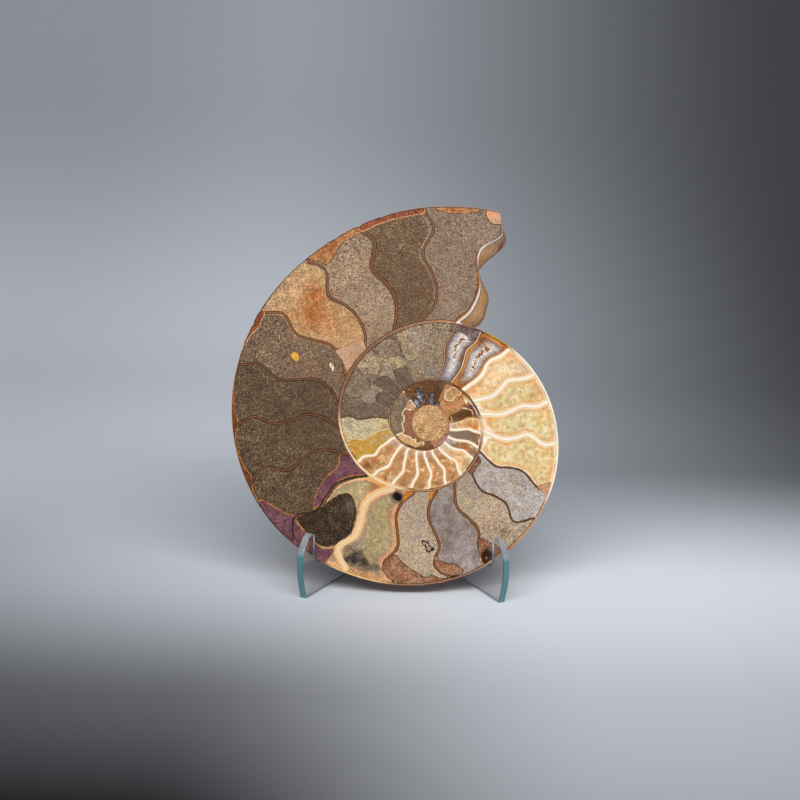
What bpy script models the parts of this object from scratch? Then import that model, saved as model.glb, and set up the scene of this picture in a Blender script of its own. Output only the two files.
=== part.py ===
"""Ammonite fossil half on a clear acrylic stand.

A fossil ammonite is sawn in half through its plane of symmetry and polished. It leans back on
a stand of two clear acrylic panels, which are slotted through each other behind it. Each panel
has a hooked foot in front, whose notch holds the rim, and an upright that the shell leans on.

Lengths are metres, +Z is up and the polished face looks along -Y. Angles round the shell are
degrees from +X, counted up as the coil runs inwards, so that each whorl is 360 further on.
"""

import math

import bmesh
import bpy
from mathutils import Vector

MM = 0.001

# The coil. Each pair is an angle and the radius there of the shell's outer wall.
WHORL_WALL = (
    (30, 106.0), (60, 99.6), (75, 96.6), (90, 94.4), (120, 90.3), (150, 88.5), (180, 86.1),
    (210, 81.7), (240, 74.8), (270, 70.0), (300, 65.3), (330, 60.5), (360, 55.0), (390, 50.2),
    (420, 46.3), (450, 44.2), (480, 42.2), (510, 41.1), (540, 39.2), (570, 35.9), (600, 31.8),
)
WHORL = 360.0
BREAK_START = 70.0  # the shell's mouth
HALF_THICKNESS = 21.5 * MM  # polished face to back of the flank, at the break
THICKNESS_PER_WHORL = 0.5
SEAM_START = 60.0
SEAM_RADIUS = 17.0 * MM  # of the navel behind, where the last whorl meets the one inside it
SEAM_PER_WHORL = 0.472
NAVEL_WHORLS = 2.5
FLANK_POWER = 0.62
NAVEL_POWER = 2.4

# The break at the shell's mouth follows a folded chamber wall. Each pair is a share of the way
# from the coil's inner wall to its outer one, and the break's angle there on the polished face,
# then how many degrees it flares out behind the face.
BREAK_FACE = (
    (0.0, 74.5), (0.08, 71.0), (0.14, 69.5), (0.24, 68.7), (0.34, 69.0), (0.42, 70.3), (0.5, 72.0),
    (0.6, 73.2), (0.68, 72.4), (0.74, 70.3), (0.82, 68.2), (0.9, 69.3), (1.0, 70.8),
)
BREAK_FLARE = (
    (0.0, 9.5), (0.1, 9.0), (0.2, 6.5), (0.29, 5.4), (0.39, 2.1), (0.47, 0.4), (0.55, 2.6),
    (0.665, 5.0), (0.76, 3.4), (0.86, 1.0), (1.0, 0.0),
)
FLARE_DEPTH = 9.0 * MM
BREAK_BLEND = 40.0  # degrees over which the mesh's columns straighten out on each side of it
BREAK_PASSES = 4

COLUMN_STEP = 5.0
FLANK_ROWS = 15
NAVEL_ROWS = 5
BREAK_ROWS = 6
FACE_EDGE_STEPS = 22
MERGE = 0.01 * MM
SHARP_EDGE = math.radians(35.0)

# Where the coil's middle sits over the stand. The face leans back, turns a little to its right
# and rolls a little to its left, until rim and flank meet both panels.
COIL_MIDDLE = Vector((10.3, 25.2, 73.0)) * MM
LEAN = math.radians(16.0)
TURN = math.radians(1.4)
ROLL = math.radians(1.8)

# One acrylic panel, drawn in its own plane: along from its front foot, and up.
PANEL_THICKNESS = 3.0 * MM
PANEL_ANGLE = math.radians(25.6)
FOOT_SPREAD = 85.8 * MM
PANEL_TAIL = 9.0 * MM
LIP_OUTER = ((0.0, 0.0), (-2.4, 7.0), (-3.8, 14.5), (-2.9, 21.0), (1.2, 26.6), (4.6, 28.2))
LIP_INNER = ((4.6, 28.2), (6.7, 27.1), (7.5, 24.0), (7.4, 20.0), (7.8, 15.6), (9.6, 13.6))
NOTCH_END = (19.0, 13.6)
UPRIGHT = ((23.7, 16.6), (51.0, 75.2))
UPRIGHT_TOP = ((51.0, 75.2), (53.0, 77.3), (56.6, 76.6))
BACK_EDGE = ((56.6, 76.6), (67.0, 62.0), (80.0, 48.5), (94.2, 40.0))
TAIL_HEIGHT = 40.0 * MM
SLOT_LEVEL = 20.0 * MM
GAP = 0.3 * MM
EDGE_CHAMFER = 0.25 * MM
CHAMFERED_CORNER = math.radians(40.0)
LIP_STEPS = 3  # between two knots of the lip or of the back edge
CREST_STEPS = 4

STONE_COLOUR = (0.27, 0.20, 0.15, 1.0)
STONE_ROUGHNESS = 0.25
ACRYLIC_COLOUR = (0.80, 0.93, 0.92, 1.0)
ACRYLIC_ROUGHNESS = 0.03
ACRYLIC_IOR = 1.49


def clear_scene():
    """Removes whatever the file holds."""
    for item in list(bpy.data.objects):
        bpy.data.objects.remove(item, do_unlink=True)


def curve_value(knots, at):
    """The smooth curve through the knots, read at a place along them. Slopes are finite
    differences, so the curve doesn't overshoot between knots that lie evenly."""
    last = len(knots) - 2
    spot = 0
    while spot < last and knots[spot + 1][0] < at:
        spot += 1
    left, right = knots[spot], knots[spot + 1]
    before, after = knots[max(spot - 1, 0)], knots[min(spot + 2, last + 1)]
    width = right[0] - left[0]
    slope_left = (right[1] - before[1]) / (right[0] - before[0])
    slope_right = (after[1] - left[1]) / (after[0] - left[0])
    share = min(max((at - left[0]) / width, 0.0), 1.0)
    square, cube = share**2, share**3
    return (
        left[1] * (2 * cube - 3 * square + 1)
        + slope_left * width * (cube - 2 * square + share)
        + right[1] * (3 * square - 2 * cube)
        + slope_right * width * (cube - square)
    )


def wall_radius(angle):
    return curve_value(WHORL_WALL, angle) * MM


def half_thickness(angle):
    return HALF_THICKNESS * THICKNESS_PER_WHORL ** ((angle - BREAK_START) / WHORL)


def seam_radius(angle):
    return SEAM_RADIUS * SEAM_PER_WHORL ** ((angle - SEAM_START) / WHORL)


def flank_point(angle, share):
    """Radius and depth on the flank, from the rim (share 0) to the navel's shoulder (1)."""
    outer, inner = wall_radius(angle), seam_radius(angle - WHORL)
    out = math.cos(share * math.pi / 2)
    depth = half_thickness(angle) * (1.0 - out**2) ** FLANK_POWER
    return inner + (outer - inner) * out, depth


def navel_point(angle, share):
    """Radius and depth from a whorl's shoulder (share 0) in to its seam (1)."""
    outer, inner = seam_radius(angle - WHORL), seam_radius(angle)
    fall = (1.0 - THICKNESS_PER_WHORL) * share**NAVEL_POWER
    return outer + (inner - outer) * share, half_thickness(angle) * (1.0 - fall)


def place(angle, radius, depth):
    turn = math.radians(angle)
    return Vector((radius * math.cos(turn), depth, radius * math.sin(turn)))


def break_angle(radius, depth):
    """Where the break lies, at a radius and a depth behind the polished face."""
    inner, outer = wall_radius(BREAK_START + WHORL), wall_radius(BREAK_START)
    share = min(max((radius - inner) / (outer - inner), 0.0), 1.0)
    flare = math.sin(min(depth / FLARE_DEPTH, 1.0) * math.pi / 2)
    return curve_value(BREAK_FACE, share) - flare * curve_value(BREAK_FLARE, share)


def near_break(angle):
    """1 at the break and at its place on each inner whorl, 0 from BREAK_BLEND away on."""
    away = abs((angle - BREAK_START + WHORL / 2) % WHORL - WHORL / 2)
    return max(1.0 - away / BREAK_BLEND, 0.0)


def back_place(point_at, angle, share):
    """A point of the shell's back. Columns close to the break bend to run along it."""
    moved = angle
    for _ in range(BREAK_PASSES):
        radius, depth = point_at(moved, share)
        moved = angle + near_break(angle) * (break_angle(radius, depth) - BREAK_START)
    return place(moved, *point_at(moved, share))


def inner_whorl_depth(radius):
    """Depth of the whorl inside the last one where the break's foot stands on it."""
    foot = BREAK_START + WHORL
    inner, outer = seam_radius(BREAK_START), wall_radius(foot)
    out = min(max((radius - inner) / (outer - inner), 0.0), 1.0)
    return half_thickness(foot) * (1.0 - out**2) ** FLANK_POWER


def zip_rows(mesh, first, second):
    """Fills the strip between two rows that run inwards and share both end vertices."""
    one, two = 0, 0
    while one < len(first) - 1 or two < len(second) - 1:
        if two == len(second) - 1:
            step_first = True
        elif one == len(first) - 1:
            step_first = False
        else:
            step_first = first[one + 1].co.xz.length >= second[two + 1].co.xz.length
        if step_first:
            corners = (first[one], first[one + 1], second[two])
            one += 1
        else:
            corners = (first[one], second[two + 1], second[two])
            two += 1
        if len(set(corners)) == 3:
            mesh.faces.new(corners)


def shell_columns(mesh):
    """The back's columns of vertices. Those of the last whorl run from rim to seam, and the
    rest only cross the navel's band."""
    columns = []
    end = BREAK_START + WHORL * NAVEL_WHORLS
    for i in range(round((end - BREAK_START) / COLUMN_STEP) + 1):
        angle = BREAK_START + i * COLUMN_STEP
        spots = []
        if angle <= BREAK_START + WHORL:
            spots += [back_place(flank_point, angle, k / FLANK_ROWS) for k in range(FLANK_ROWS)]
        spots += [back_place(navel_point, angle, k / NAVEL_ROWS) for k in range(NAVEL_ROWS + 1)]
        columns.append([mesh.verts.new(spot) for spot in spots])
    return columns


def add_back(mesh, columns):
    """Flank and navel. From the second whorl on, only the navel's rows are in sight."""
    for here, there in zip(columns, columns[1:]):
        here = here[len(here) - len(there):] if len(there) < len(here) else here
        for one, two, three, four in zip(here, there, there[1:], here[1:]):
            mesh.faces.new((one, two, three, four))


def add_break(mesh, start, foot):
    """The broken chamber wall, from its edge on the flank down to the polished face and, further
    in, to the whorl that it stands on. Returns its edge on the polished face."""
    outer, inner = start[0].co.xz.length, foot[0].co.xz.length
    face_edge = [start[0]]
    for k in range(1, FACE_EDGE_STEPS):
        radius = outer + (inner - outer) * k / FACE_EDGE_STEPS
        face_edge.append(mesh.verts.new(place(break_angle(radius, 0.0), radius, 0.0)))
    face_edge.append(foot[0])
    row = start
    for k in range(1, BREAK_ROWS):
        down = k / BREAK_ROWS
        lower = [start[0]]
        for vertex in start[1:-1]:
            radius = vertex.co.xz.length
            depth = vertex.co.y + (inner_whorl_depth(radius) - vertex.co.y) * down
            lower.append(mesh.verts.new(place(break_angle(radius, depth), radius, depth)))
        lower.append(start[-1])
        zip_rows(mesh, row, lower)
        row = lower
    zip_rows(mesh, row, face_edge + foot[1:-1] + [start[-1]])
    return face_edge


def make_shell():
    mesh = bmesh.new()
    columns = shell_columns(mesh)
    add_back(mesh, columns)
    whorl = round(WHORL / COLUMN_STEP)
    start, foot = columns[0], columns[whorl][: FLANK_ROWS + 1]
    face_edge = add_break(mesh, start, foot)
    rim = [column[0] for column in columns[: whorl + 1]]
    mesh.faces.new(rim + face_edge[-2:0:-1])
    bmesh.ops.remove_doubles(mesh, verts=mesh.verts, dist=MERGE)
    bmesh.ops.holes_fill(mesh, edges=[edge for edge in mesh.edges if edge.is_boundary])
    bmesh.ops.recalc_face_normals(mesh, faces=mesh.faces)
    return mesh


def smooth_line(knots, steps):
    """Points on the smooth curve through the knots, with a few steps between each two."""
    along = [0.0]
    for here, there in zip(knots, knots[1:]):
        along.append(along[-1] + math.dist(here, there))
    across = [(at, knot[0]) for at, knot in zip(along, knots)]
    up = [(at, knot[1]) for at, knot in zip(along, knots)]
    points = []
    for here, there in zip(along, along[1:]):
        for k in range(steps):
            at = here + (there - here) * k / steps
            points.append((curve_value(across, at) * MM, curve_value(up, at) * MM))
    points.append((knots[-1][0] * MM, knots[-1][1] * MM))
    return points


def panel_outline(slot_opens_up):
    """Counter-clockwise from the front foot along the floor, up the back and down the notch."""
    crossing = FOOT_SPREAD / 2 / math.sin(PANEL_ANGLE)
    end = crossing + PANEL_TAIL
    crossed = PANEL_THICKNESS / math.sin(2 * PANEL_ANGLE)
    crossed += PANEL_THICKNESS / math.tan(2 * PANEL_ANGLE)
    side = crossed / 2 + GAP
    floor, top = [(0.0, 0.0)], [(end, 0.0), (end, TAIL_HEIGHT)]
    if slot_opens_up:
        level = SLOT_LEVEL - GAP / 2
        slot = [(crossing + side, TAIL_HEIGHT), (crossing + side, level)]
        top += slot + [(crossing - side, level)]
    else:
        level = SLOT_LEVEL + GAP / 2
        floor += [(crossing - side, 0.0), (crossing - side, level)]
        floor += [(crossing + side, level), (crossing + side, 0.0)]
    back = smooth_line(BACK_EDGE, LIP_STEPS)[::-1]
    if slot_opens_up:
        back[0] = (crossing - side, TAIL_HEIGHT)
    crest = smooth_line(UPRIGHT_TOP, CREST_STEPS)[::-1]
    notch = [(UPRIGHT[0][0] * MM, UPRIGHT[0][1] * MM), (NOTCH_END[0] * MM, NOTCH_END[1] * MM)]
    lip = smooth_line(LIP_INNER, LIP_STEPS)[::-1]
    lip += smooth_line(LIP_OUTER, LIP_STEPS)[::-1][1:-1]
    return floor + top + back + crest[1:] + notch + lip


def make_panel(name, side, slot_opens_up):
    """A panel on the left (side -1) or right (+1) of the stand."""
    mesh = bmesh.new()
    half = PANEL_THICKNESS / 2
    outline = [mesh.verts.new((along, -half, up)) for along, up in panel_outline(slot_opens_up)]
    face = mesh.faces.new(outline)
    pushed = bmesh.ops.extrude_face_region(mesh, geom=[face])["geom"]
    moved = [item for item in pushed if isinstance(item, bmesh.types.BMVert)]
    bmesh.ops.translate(mesh, verts=moved, vec=(0.0, PANEL_THICKNESS, 0.0))
    bmesh.ops.recalc_face_normals(mesh, faces=mesh.faces)
    panel = add_object(name, mesh, make_acrylic(name))
    chamfer = panel.modifiers.new("polished_edges", "BEVEL")
    chamfer.width = EDGE_CHAMFER
    chamfer.segments = 1
    chamfer.limit_method = "ANGLE"
    chamfer.angle_limit = CHAMFERED_CORNER
    panel.location = (side * FOOT_SPREAD / 2, 0.0, 0.0)
    panel.rotation_euler.z = math.pi / 2 + side * PANEL_ANGLE
    return panel


def add_object(name, mesh, material):
    data = bpy.data.meshes.new(name)
    mesh.to_mesh(data)
    mesh.free()
    data.materials.append(material)
    thing = bpy.data.objects.new(name, data)
    bpy.context.scene.collection.objects.link(thing)
    return thing


def plain_material(name, colour, roughness):
    material = bpy.data.materials.new(name)
    material.use_nodes = True
    shader = material.node_tree.nodes["Principled BSDF"]
    shader.inputs["Base Color"].default_value = colour
    shader.inputs["Roughness"].default_value = roughness
    shader.inputs["Metallic"].default_value = 0.0
    return material


def make_acrylic(name):
    material = plain_material(name, ACRYLIC_COLOUR, ACRYLIC_ROUGHNESS)
    shader = material.node_tree.nodes["Principled BSDF"]
    shader.inputs["Transmission Weight"].default_value = 1.0
    shader.inputs["IOR"].default_value = ACRYLIC_IOR
    return material


def main():
    clear_scene()
    stone = plain_material("stone", STONE_COLOUR, STONE_ROUGHNESS)
    shell = add_object("ammonite_half", make_shell(), stone)
    shell.data.shade_smooth()
    shell.data.set_sharp_from_angle(angle=SHARP_EDGE)
    shell.location = COIL_MIDDLE
    shell.rotation_mode = "YXZ"
    shell.rotation_euler = (-LEAN, -ROLL, TURN)
    panels = [
        make_panel("stand_panel_left", -1, True),
        make_panel("stand_panel_right", 1, False),
    ]
    centre_on_origin([shell, *panels])


def centre_on_origin(things):
    """Moves everything along the floor so that the whole thing's box is centred there."""
    bpy.context.view_layer.update()
    spots = [thing.matrix_world @ vertex.co for thing in things for vertex in thing.data.vertices]
    for axis in range(2):
        side = [spot[axis] for spot in spots]
        middle = (min(side) + max(side)) / 2
        for thing in things:
            thing.location[axis] -= middle


main()
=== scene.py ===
"""Looks of the ammonite fossil half on its clear acrylic stand.

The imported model's boxes place the shell and the panels, and their shapes repeat the part's own
values. The polished face is one fine grid that follows the coil, and carries as attributes which
chamber and whorl a point is in and how deep it lies in each vein, stain and cavity. The stone's
shader turns those into minerals.

Angles round the shell are degrees from +X, counted up as the coil runs inwards, so that each
whorl is 360 further on. A share is 0 on a whorl's inner wall and 1 on its outer wall.
"""

import math

import bmesh
import bpy
import numpy as np
from mathutils import Matrix, Vector


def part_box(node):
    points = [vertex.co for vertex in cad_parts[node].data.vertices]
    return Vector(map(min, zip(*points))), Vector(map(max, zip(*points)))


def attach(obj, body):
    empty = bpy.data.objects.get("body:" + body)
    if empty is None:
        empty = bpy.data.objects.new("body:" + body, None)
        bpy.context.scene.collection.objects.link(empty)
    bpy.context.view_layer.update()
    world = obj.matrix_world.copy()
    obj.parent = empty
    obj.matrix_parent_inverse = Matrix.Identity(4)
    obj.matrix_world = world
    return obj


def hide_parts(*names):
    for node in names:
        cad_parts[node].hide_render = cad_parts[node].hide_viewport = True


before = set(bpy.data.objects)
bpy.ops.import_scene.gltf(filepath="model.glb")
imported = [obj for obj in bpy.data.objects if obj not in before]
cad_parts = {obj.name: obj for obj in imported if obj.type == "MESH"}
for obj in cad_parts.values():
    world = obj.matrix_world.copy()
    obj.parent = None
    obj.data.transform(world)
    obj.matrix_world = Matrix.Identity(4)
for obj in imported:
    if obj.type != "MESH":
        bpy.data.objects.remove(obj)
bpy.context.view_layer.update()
SHELL_LOW, SHELL_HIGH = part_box("ammonite_half")

bl_info = {
    "name": "Ammonite half on stand",
    "version": (1, 0, 0),
    "blender": (4, 5, 0),
    "location": "3D View > Sidebar > Ammonite",
    "description": "Builds the polished ammonite half, its clear stand and the studio",
    "category": "Add Mesh",
}

MM = 0.001
WHORL = 360.0  # degrees

# The coil: angle, and radius there of the shell's outer wall in millimetres.
WHORL_WALL = (
    (30, 106.0), (60, 99.6), (75, 96.6), (90, 94.4), (120, 90.3), (150, 88.5), (180, 86.1),
    (210, 81.7), (240, 74.8), (270, 70.0), (300, 65.3), (330, 60.5), (360, 55.0), (390, 50.2),
    (420, 46.3), (450, 44.2), (480, 42.2), (510, 41.1), (540, 39.2), (570, 35.9), (600, 31.8),
    (630, 29.2), (660, 27.0), (690, 24.5), (720, 22.4), (750, 20.4), (780, 19.3), (810, 18.9),
    (840, 18.9), (870, 18.5), (900, 17.4), (930, 15.2), (960, 12.9), (990, 11.5), (1020, 10.4),
    (1050, 9.2), (1080, 8.3), (1105, 7.8), (1130, 7.8), (1500, 7.8),
)
HALF_THICKNESS = 21.5
THICKNESS_PER_WHORL = 0.5
SEAM_START = 60.0
SEAM_RADIUS = 17.0
SEAM_PER_WHORL = 0.472
NAVEL_WHORLS = 2.5
FLANK_POWER = 0.62
NAVEL_POWER = 2.4
BREAK_FACE = (
    (0.0, 74.5), (0.08, 71.0), (0.14, 69.5), (0.24, 68.7), (0.34, 69.0), (0.42, 70.3), (0.5, 72.0),
    (0.6, 73.2), (0.68, 72.4), (0.74, 70.3), (0.82, 68.2), (0.9, 69.3), (1.0, 70.8),
)
BREAK_FLARE = (
    (0.0, 9.5), (0.1, 9.0), (0.2, 6.5), (0.29, 5.4), (0.39, 2.1), (0.47, 0.4), (0.55, 2.6),
    (0.665, 5.0), (0.76, 3.4), (0.86, 1.0), (1.0, 0.0),
)
FLARE_DEPTH = 9.0
RIM_WEAR = (  # middle and half length in degrees, depth in millimetres
    (110.0, 20.0, 0.45), (151.0, 12.0, 0.4), (268.0, 14.0, 0.25),
)
RIM_WAVES = (0.9, 1.7, 2.9)  # radians to a degree
BREAK_START = 70.0
BREAK_BLEND = 40.0
BREAK_ROUNDS = 5  # of moving the columns onto the break
LEAN = math.radians(16.0)
TURN = math.radians(1.4)
ROLL = math.radians(1.8)

# Chamber walls, from the mouth inwards: the angle of each at these shares across the whorl.
WALL_SHARES = (0.03, 0.12, 0.27, 0.43, 0.6, 0.8, 0.96)
CHAMBER_WALLS = (
    (74, 70, 69, 70.5, 73, 68.5, 70), (92.5, 87.5, 86, 88.5, 91.5, 88, 90.5),
    (110, 106.5, 104.5, 106.5, 109.5, 106, 108.5), (130, 125.5, 123.5, 124.5, 127.5, 123.5, 126),
    (149.5, 143, 141, 143.5, 145.5, 142.5, 145.5), (165, 160, 158.5, 161, 163, 160, 162),
    (182, 177, 175, 177.5, 179.5, 177, 180), (200.5, 195.5, 193, 195, 197.5, 194, 197.5),
    (218.5, 214.5, 212, 214, 216.5, 214, 219.5), (239, 232.5, 230.5, 233.5, 235.5, 233, 239),
    (256, 250.5, 249, 252, 254.5, 251, 256), (275, 269.5, 268, 271, 273.5, 271, 276),
    (291.5, 288.5, 287, 291, 293.5, 290.5, 294), (310, 307.5, 306.5, 310.5, 312.5, 309.5, 316.5),
    (329, 327, 326, 330, 331.5, 328.5, 328), (351, 348.5, 347, 349, 352.5, 348.5, 350),
    (369, 368, 366, 367.5, 369.5, 368, 369.5), (386, 384.5, 382.5, 384.5, 387.5, 384.5, 384),
    (404, 403, 401.5, 402.5, 405, 402.5, 402), (421, 420, 419, 420.5, 422, 419.5, 420),
    (438.5, 437.5, 436, 437, 438, 435.5, 434), (456, 455, 454, 455, 456.5, 454, 453),
    (473, 472, 471, 472, 473.5, 471, 471), (490, 489, 488, 489, 490, 488, 488),
    (505, 504, 503, 504.5, 506, 504, 504), (521, 520, 519, 520.5, 522, 520, 520),
    (533, 533, 533, 534.5, 536, 534, 535.5), (547, 547.5, 548, 550.5, 553, 551, 551.5),
    (561.5, 562, 564, 565.5, 569, 566, 567.5), (577.5, 578, 580.5, 582.5, 585, 582, 582),
    (589, 589.5, 594, 597, 600, 598, 597.5), (605, 605.5, 609.5, 613, 615.5, 613.5, 613),
    (618.5, 619, 624, 627.5, 630.5, 628.5, 628.5), (633.5, 634.5, 639, 642.5, 646, 644, 643.5),
    (648.5, 650.5, 655, 659, 663, 660.5, 660), (665.5, 667.5, 670, 675, 679.5, 679.5, 679.5),
    (682, 683.5, 686, 690, 693, 693, 692), (701, 702.5, 705.5, 708.5, 710, 708.5, 708),
    (720, 721, 722.5, 724.5, 727.5, 726.5, 725), (742, 742, 742, 742, 743, 745, 746),
    (782, 782, 783, 784, 783, 782, 781), (850, 850, 850, 850, 850, 851, 852),
    (918, 918, 919, 920, 921, 921, 920), (972, 971, 970, 969, 968, 968, 968), (992,) * 7,
    (1110,) * 7,
)
DISC_PLACE = 45.5  # of the disc in the middle, in the row of chambers
FACE, BACK, MOUTH = 0, 1, 2  # material slots of the shell's mesh
RIBS = 46  # to a whorl
RIB_BEND = 9.0
RIBS_FROM, RIBS_OVER = 0.2, 0.75  # where they start, and how far they go, across the flank
STREAKS = 6.0  # to a chamber
GRAIN_MM = 0.42
FLECK_MM = 0.45
CORNER_MM = 2.0  # how far from a corner of a chamber the bands along its walls round it off
PIT_SLOPE = 1.2
PIT_ROUGHNESS = 0.4
PIT_GRAIN = 1.1
PIT_SEED = 7
DRUSE_DEPTH = 0.4  # of the depth of an open cavity
LATTICE = 64  # random values along each side of the noise's table
MOST = 4.0  # above every number in the tables below
HAIR = 0.0001  # of a step along the row of chambers

# One acrylic panel, drawn in its own plane in millimetres: along from its front foot, and up.
PANEL_THICKNESS = 3.0
PANEL_ANGLE = math.radians(25.6)
FOOT_SPREAD = 85.8
PANEL_TAIL = 9.0
LIP_OUTER = ((0.0, 0.0), (-2.4, 7.0), (-3.8, 14.5), (-2.9, 21.0), (1.2, 26.6), (4.6, 28.2))
LIP_INNER = ((4.6, 28.2), (6.7, 27.1), (7.5, 24.0), (7.4, 20.0), (7.8, 15.6), (9.6, 13.6))
NOTCH_END = (19.0, 13.6)
UPRIGHT_FOOT = (23.7, 16.6)
UPRIGHT_TOP = ((51.0, 75.2), (53.0, 77.3), (56.6, 76.6))
BACK_EDGE = ((56.6, 76.6), (67.0, 62.0), (80.0, 48.5), (94.2, 40.0))
TAIL_HEIGHT = 40.0
SLOT_LEVEL = 20.0
GAP = 0.3
LIP_STEPS = 8
CREST_STEPS = 10
EDGE_STEPS = 3
EDGE_CORNER = math.radians(40.0)
# Panel edges: a painted glow in the sheet's tint up to the first height, mostly clear above the
# second, and the pale colour of a painted sheen there.
EDGE_PAINTED_GLOW_TO = 19.0
EDGE_CLEAR_FROM = 23.0
EDGE_PAINTED_SHEEN = (0.62, 0.68, 0.72)
CLEAR_ACRYLIC = {"Roughness": 0.02, "Transmission Weight": 1.0, "IOR": 1.49}

# The studio, in metres.
STUDIO = 6.0
SWEEP_AT = 0.35
SWEEP_RADIUS = 0.6
SWEEP_STEPS = 24
WORLD_COLOUR = (0.86, 0.92, 1.0)
LAMPS = (  # name, place, what it shines at, length and breadth, power in watts, tint
    ("key", (0.05, -1.1, 1.02), (0.0, 0.0, 0.09), (2.2, 0.3), 21.8, (0.98, 0.965, 0.945)),
    ("front", (-0.1, -1.0, 1.3), (0.0, 0.0, 0.08), (1.6, 0.5), 4.6, (0.95, 0.98, 1.0)),
)
CAMERA_SENSOR = 36.0
CAMERA_LENS = 103.46
CAMERA_DISTANCE = 1.0
CAMERA_PITCH = math.radians(14.0)
CAMERA_ROLL = math.radians(1.3)
CAMERA_TARGET = (0.0018, -0.0221, 0.0831)
CAMERA_CLIP = (0.01, 100.0)

# The meshes.
TURN_COLUMNS = 400  # of vertices, once round the coil
LAST_WHORL = slice(-TURN_COLUMNS - 1, None)
FACE_END = 1105.0
FACE_ROWS = 44
DISC_ROWS = 9
DISC_RADIUS = 7.8
FLANK_ROWS = 36
NAVEL_ROWS = 8
MOUTH_ROWS = 12
WELD = 1e-6  # metres
SMALLEST_AREA = 1e-12  # square millimetres, squared
WIDEST_CHAMBER = 1000.0  # millimetres
SHARP_EDGE = math.radians(38.0)


def smooth_curve(knots, at):
    """The curve through the knots, read at an array of places: between two knots a cubic whose
    slopes there are the finite differences across each knot."""
    places, values = np.array(knots, float).T
    wide = np.concatenate(([places[0]], places, [places[-1]]))
    tall = np.concatenate(([values[0]], values, [values[-1]]))
    slopes = (tall[2:] - tall[:-2]) / (wide[2:] - wide[:-2])
    left = np.clip(np.searchsorted(places, at, side="left") - 1, 0, len(places) - 2)
    width = places[left + 1] - places[left]
    share = np.clip((at - places[left]) / width, 0.0, 1.0)
    square, cube = share**2, share**3
    return (
        values[left] * (2 * cube - 3 * square + 1)
        + slopes[left] * width * (cube - 2 * square + share)
        + values[left + 1] * (3 * square - 2 * cube)
        + slopes[left + 1] * width * (cube - square)
    )


def wall_radius(angle):
    """The radius of the shell's outer wall, with the worn rim of the last whorl: a wave of three
    lengths that fades in and out over each worn stretch."""
    worn = 0.0
    for middle, half, depth in RIM_WEAR:
        fade = np.cos(np.clip((angle - middle) / half, -1.0, 1.0) * np.pi / 2.0) ** 2
        wave = sum(np.sin(angle * pace + pace) for pace in RIM_WAVES) / len(RIM_WAVES)
        worn = worn + depth * fade * wave
    return smooth_curve(WHORL_WALL, angle) + worn


def half_thickness(angle):
    """The depth of the shell behind its face, which falls by the same factor with each whorl."""
    return HALF_THICKNESS * THICKNESS_PER_WHORL ** ((angle - BREAK_START) / WHORL)


def seam_radius(angle):
    """The radius of the seam in the navel, between a whorl's flank and the next whorl's."""
    return SEAM_RADIUS * SEAM_PER_WHORL ** ((angle - SEAM_START) / WHORL)


def flank_point(angle, share):
    """Radius and depth on the flank, from the rim (share 0) to the navel's shoulder (1): the
    radius falls as a cosine, and the depth is a power curve that leaves the rim square."""
    outer, inner = wall_radius(angle), seam_radius(angle - WHORL)
    out = np.cos(share * np.pi / 2)
    depth = half_thickness(angle) * (1.0 - out**2) ** FLANK_POWER
    return inner + (outer - inner) * out, depth


def navel_point(angle, share):
    """Radius and depth from a whorl's shoulder (share 0) in to its seam (1), where it meets the
    next whorl's shoulder: the depth falls by a power of the share."""
    outer, inner = seam_radius(angle - WHORL), seam_radius(angle)
    fall = (1.0 - THICKNESS_PER_WHORL) * share**NAVEL_POWER
    return outer + (inner - outer) * share, half_thickness(angle) * (1.0 - fall)


def mouth_share(radius):
    """0 at the wall of the whorl that the mouth stands on, 1 at the outer wall."""
    inner, outer = wall_radius(BREAK_START + WHORL), wall_radius(BREAK_START)
    return (radius - inner) / (outer - inner)


def break_angle(radius, depth):
    """Where the break at the mouth lies, at a radius and a depth behind the face."""
    share = np.clip(mouth_share(radius), 0.0, 1.0)
    flare = np.sin(np.clip(depth / FLARE_DEPTH, 0.0, 1.0) * np.pi / 2)
    return smooth_curve(BREAK_FACE, share) - flare * smooth_curve(BREAK_FLARE, share)


def near_break(angle):
    """1 at the break and at its place on each inner whorl, 0 from BREAK_BLEND away on."""
    away = np.abs((angle - BREAK_START + WHORL / 2) % WHORL - WHORL / 2)
    return np.clip(1.0 - away / BREAK_BLEND, 0.0, 1.0)


def follow_break(angle, point_at):
    """Angles moved so that columns close to the break run along it, with their points."""
    moved = angle
    for _ in range(BREAK_ROUNDS):
        radius, depth = point_at(moved)
        moved = angle + near_break(angle) * (break_angle(radius, depth) - BREAK_START)
    return moved, *point_at(moved)


def in_plane(angle, radius, depth):
    """Points in the shell's own frame, in millimetres: X and Z in the face, Y behind it."""
    turn = np.radians(angle)
    return np.stack((radius * np.cos(turn), depth, radius * np.sin(turn)), axis=-1)


def turned(angle, axis):
    """A rotation matrix about a main axis."""
    one, two = ((1, 2), (2, 0), (0, 1))[axis]
    matrix = np.eye(3)
    matrix[one, one] = matrix[two, two] = math.cos(angle)
    matrix[two, one] = math.sin(angle)
    matrix[one, two] = -matrix[two, one]
    return matrix


def face_shares():
    """Rows across a whorl, closer together near its walls."""
    even = np.linspace(0.0, 1.0, FACE_ROWS + 1)
    return 0.5 * even + 0.25 * (1.0 - np.cos(np.pi * even))


def across(angle, share):
    """The radius at a share of the way from a whorl's inner wall to its outer one."""
    return wall_radius(angle + WHORL) * (1.0 - share) + wall_radius(angle) * share


def coil_angles(start, end):
    """Angles from start to end in even steps, TURN_COLUMNS of them to a whorl."""
    steps = round((end - start) * TURN_COLUMNS / WHORL)
    return start + np.arange(steps + 1) * WHORL / TURN_COLUMNS


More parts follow.
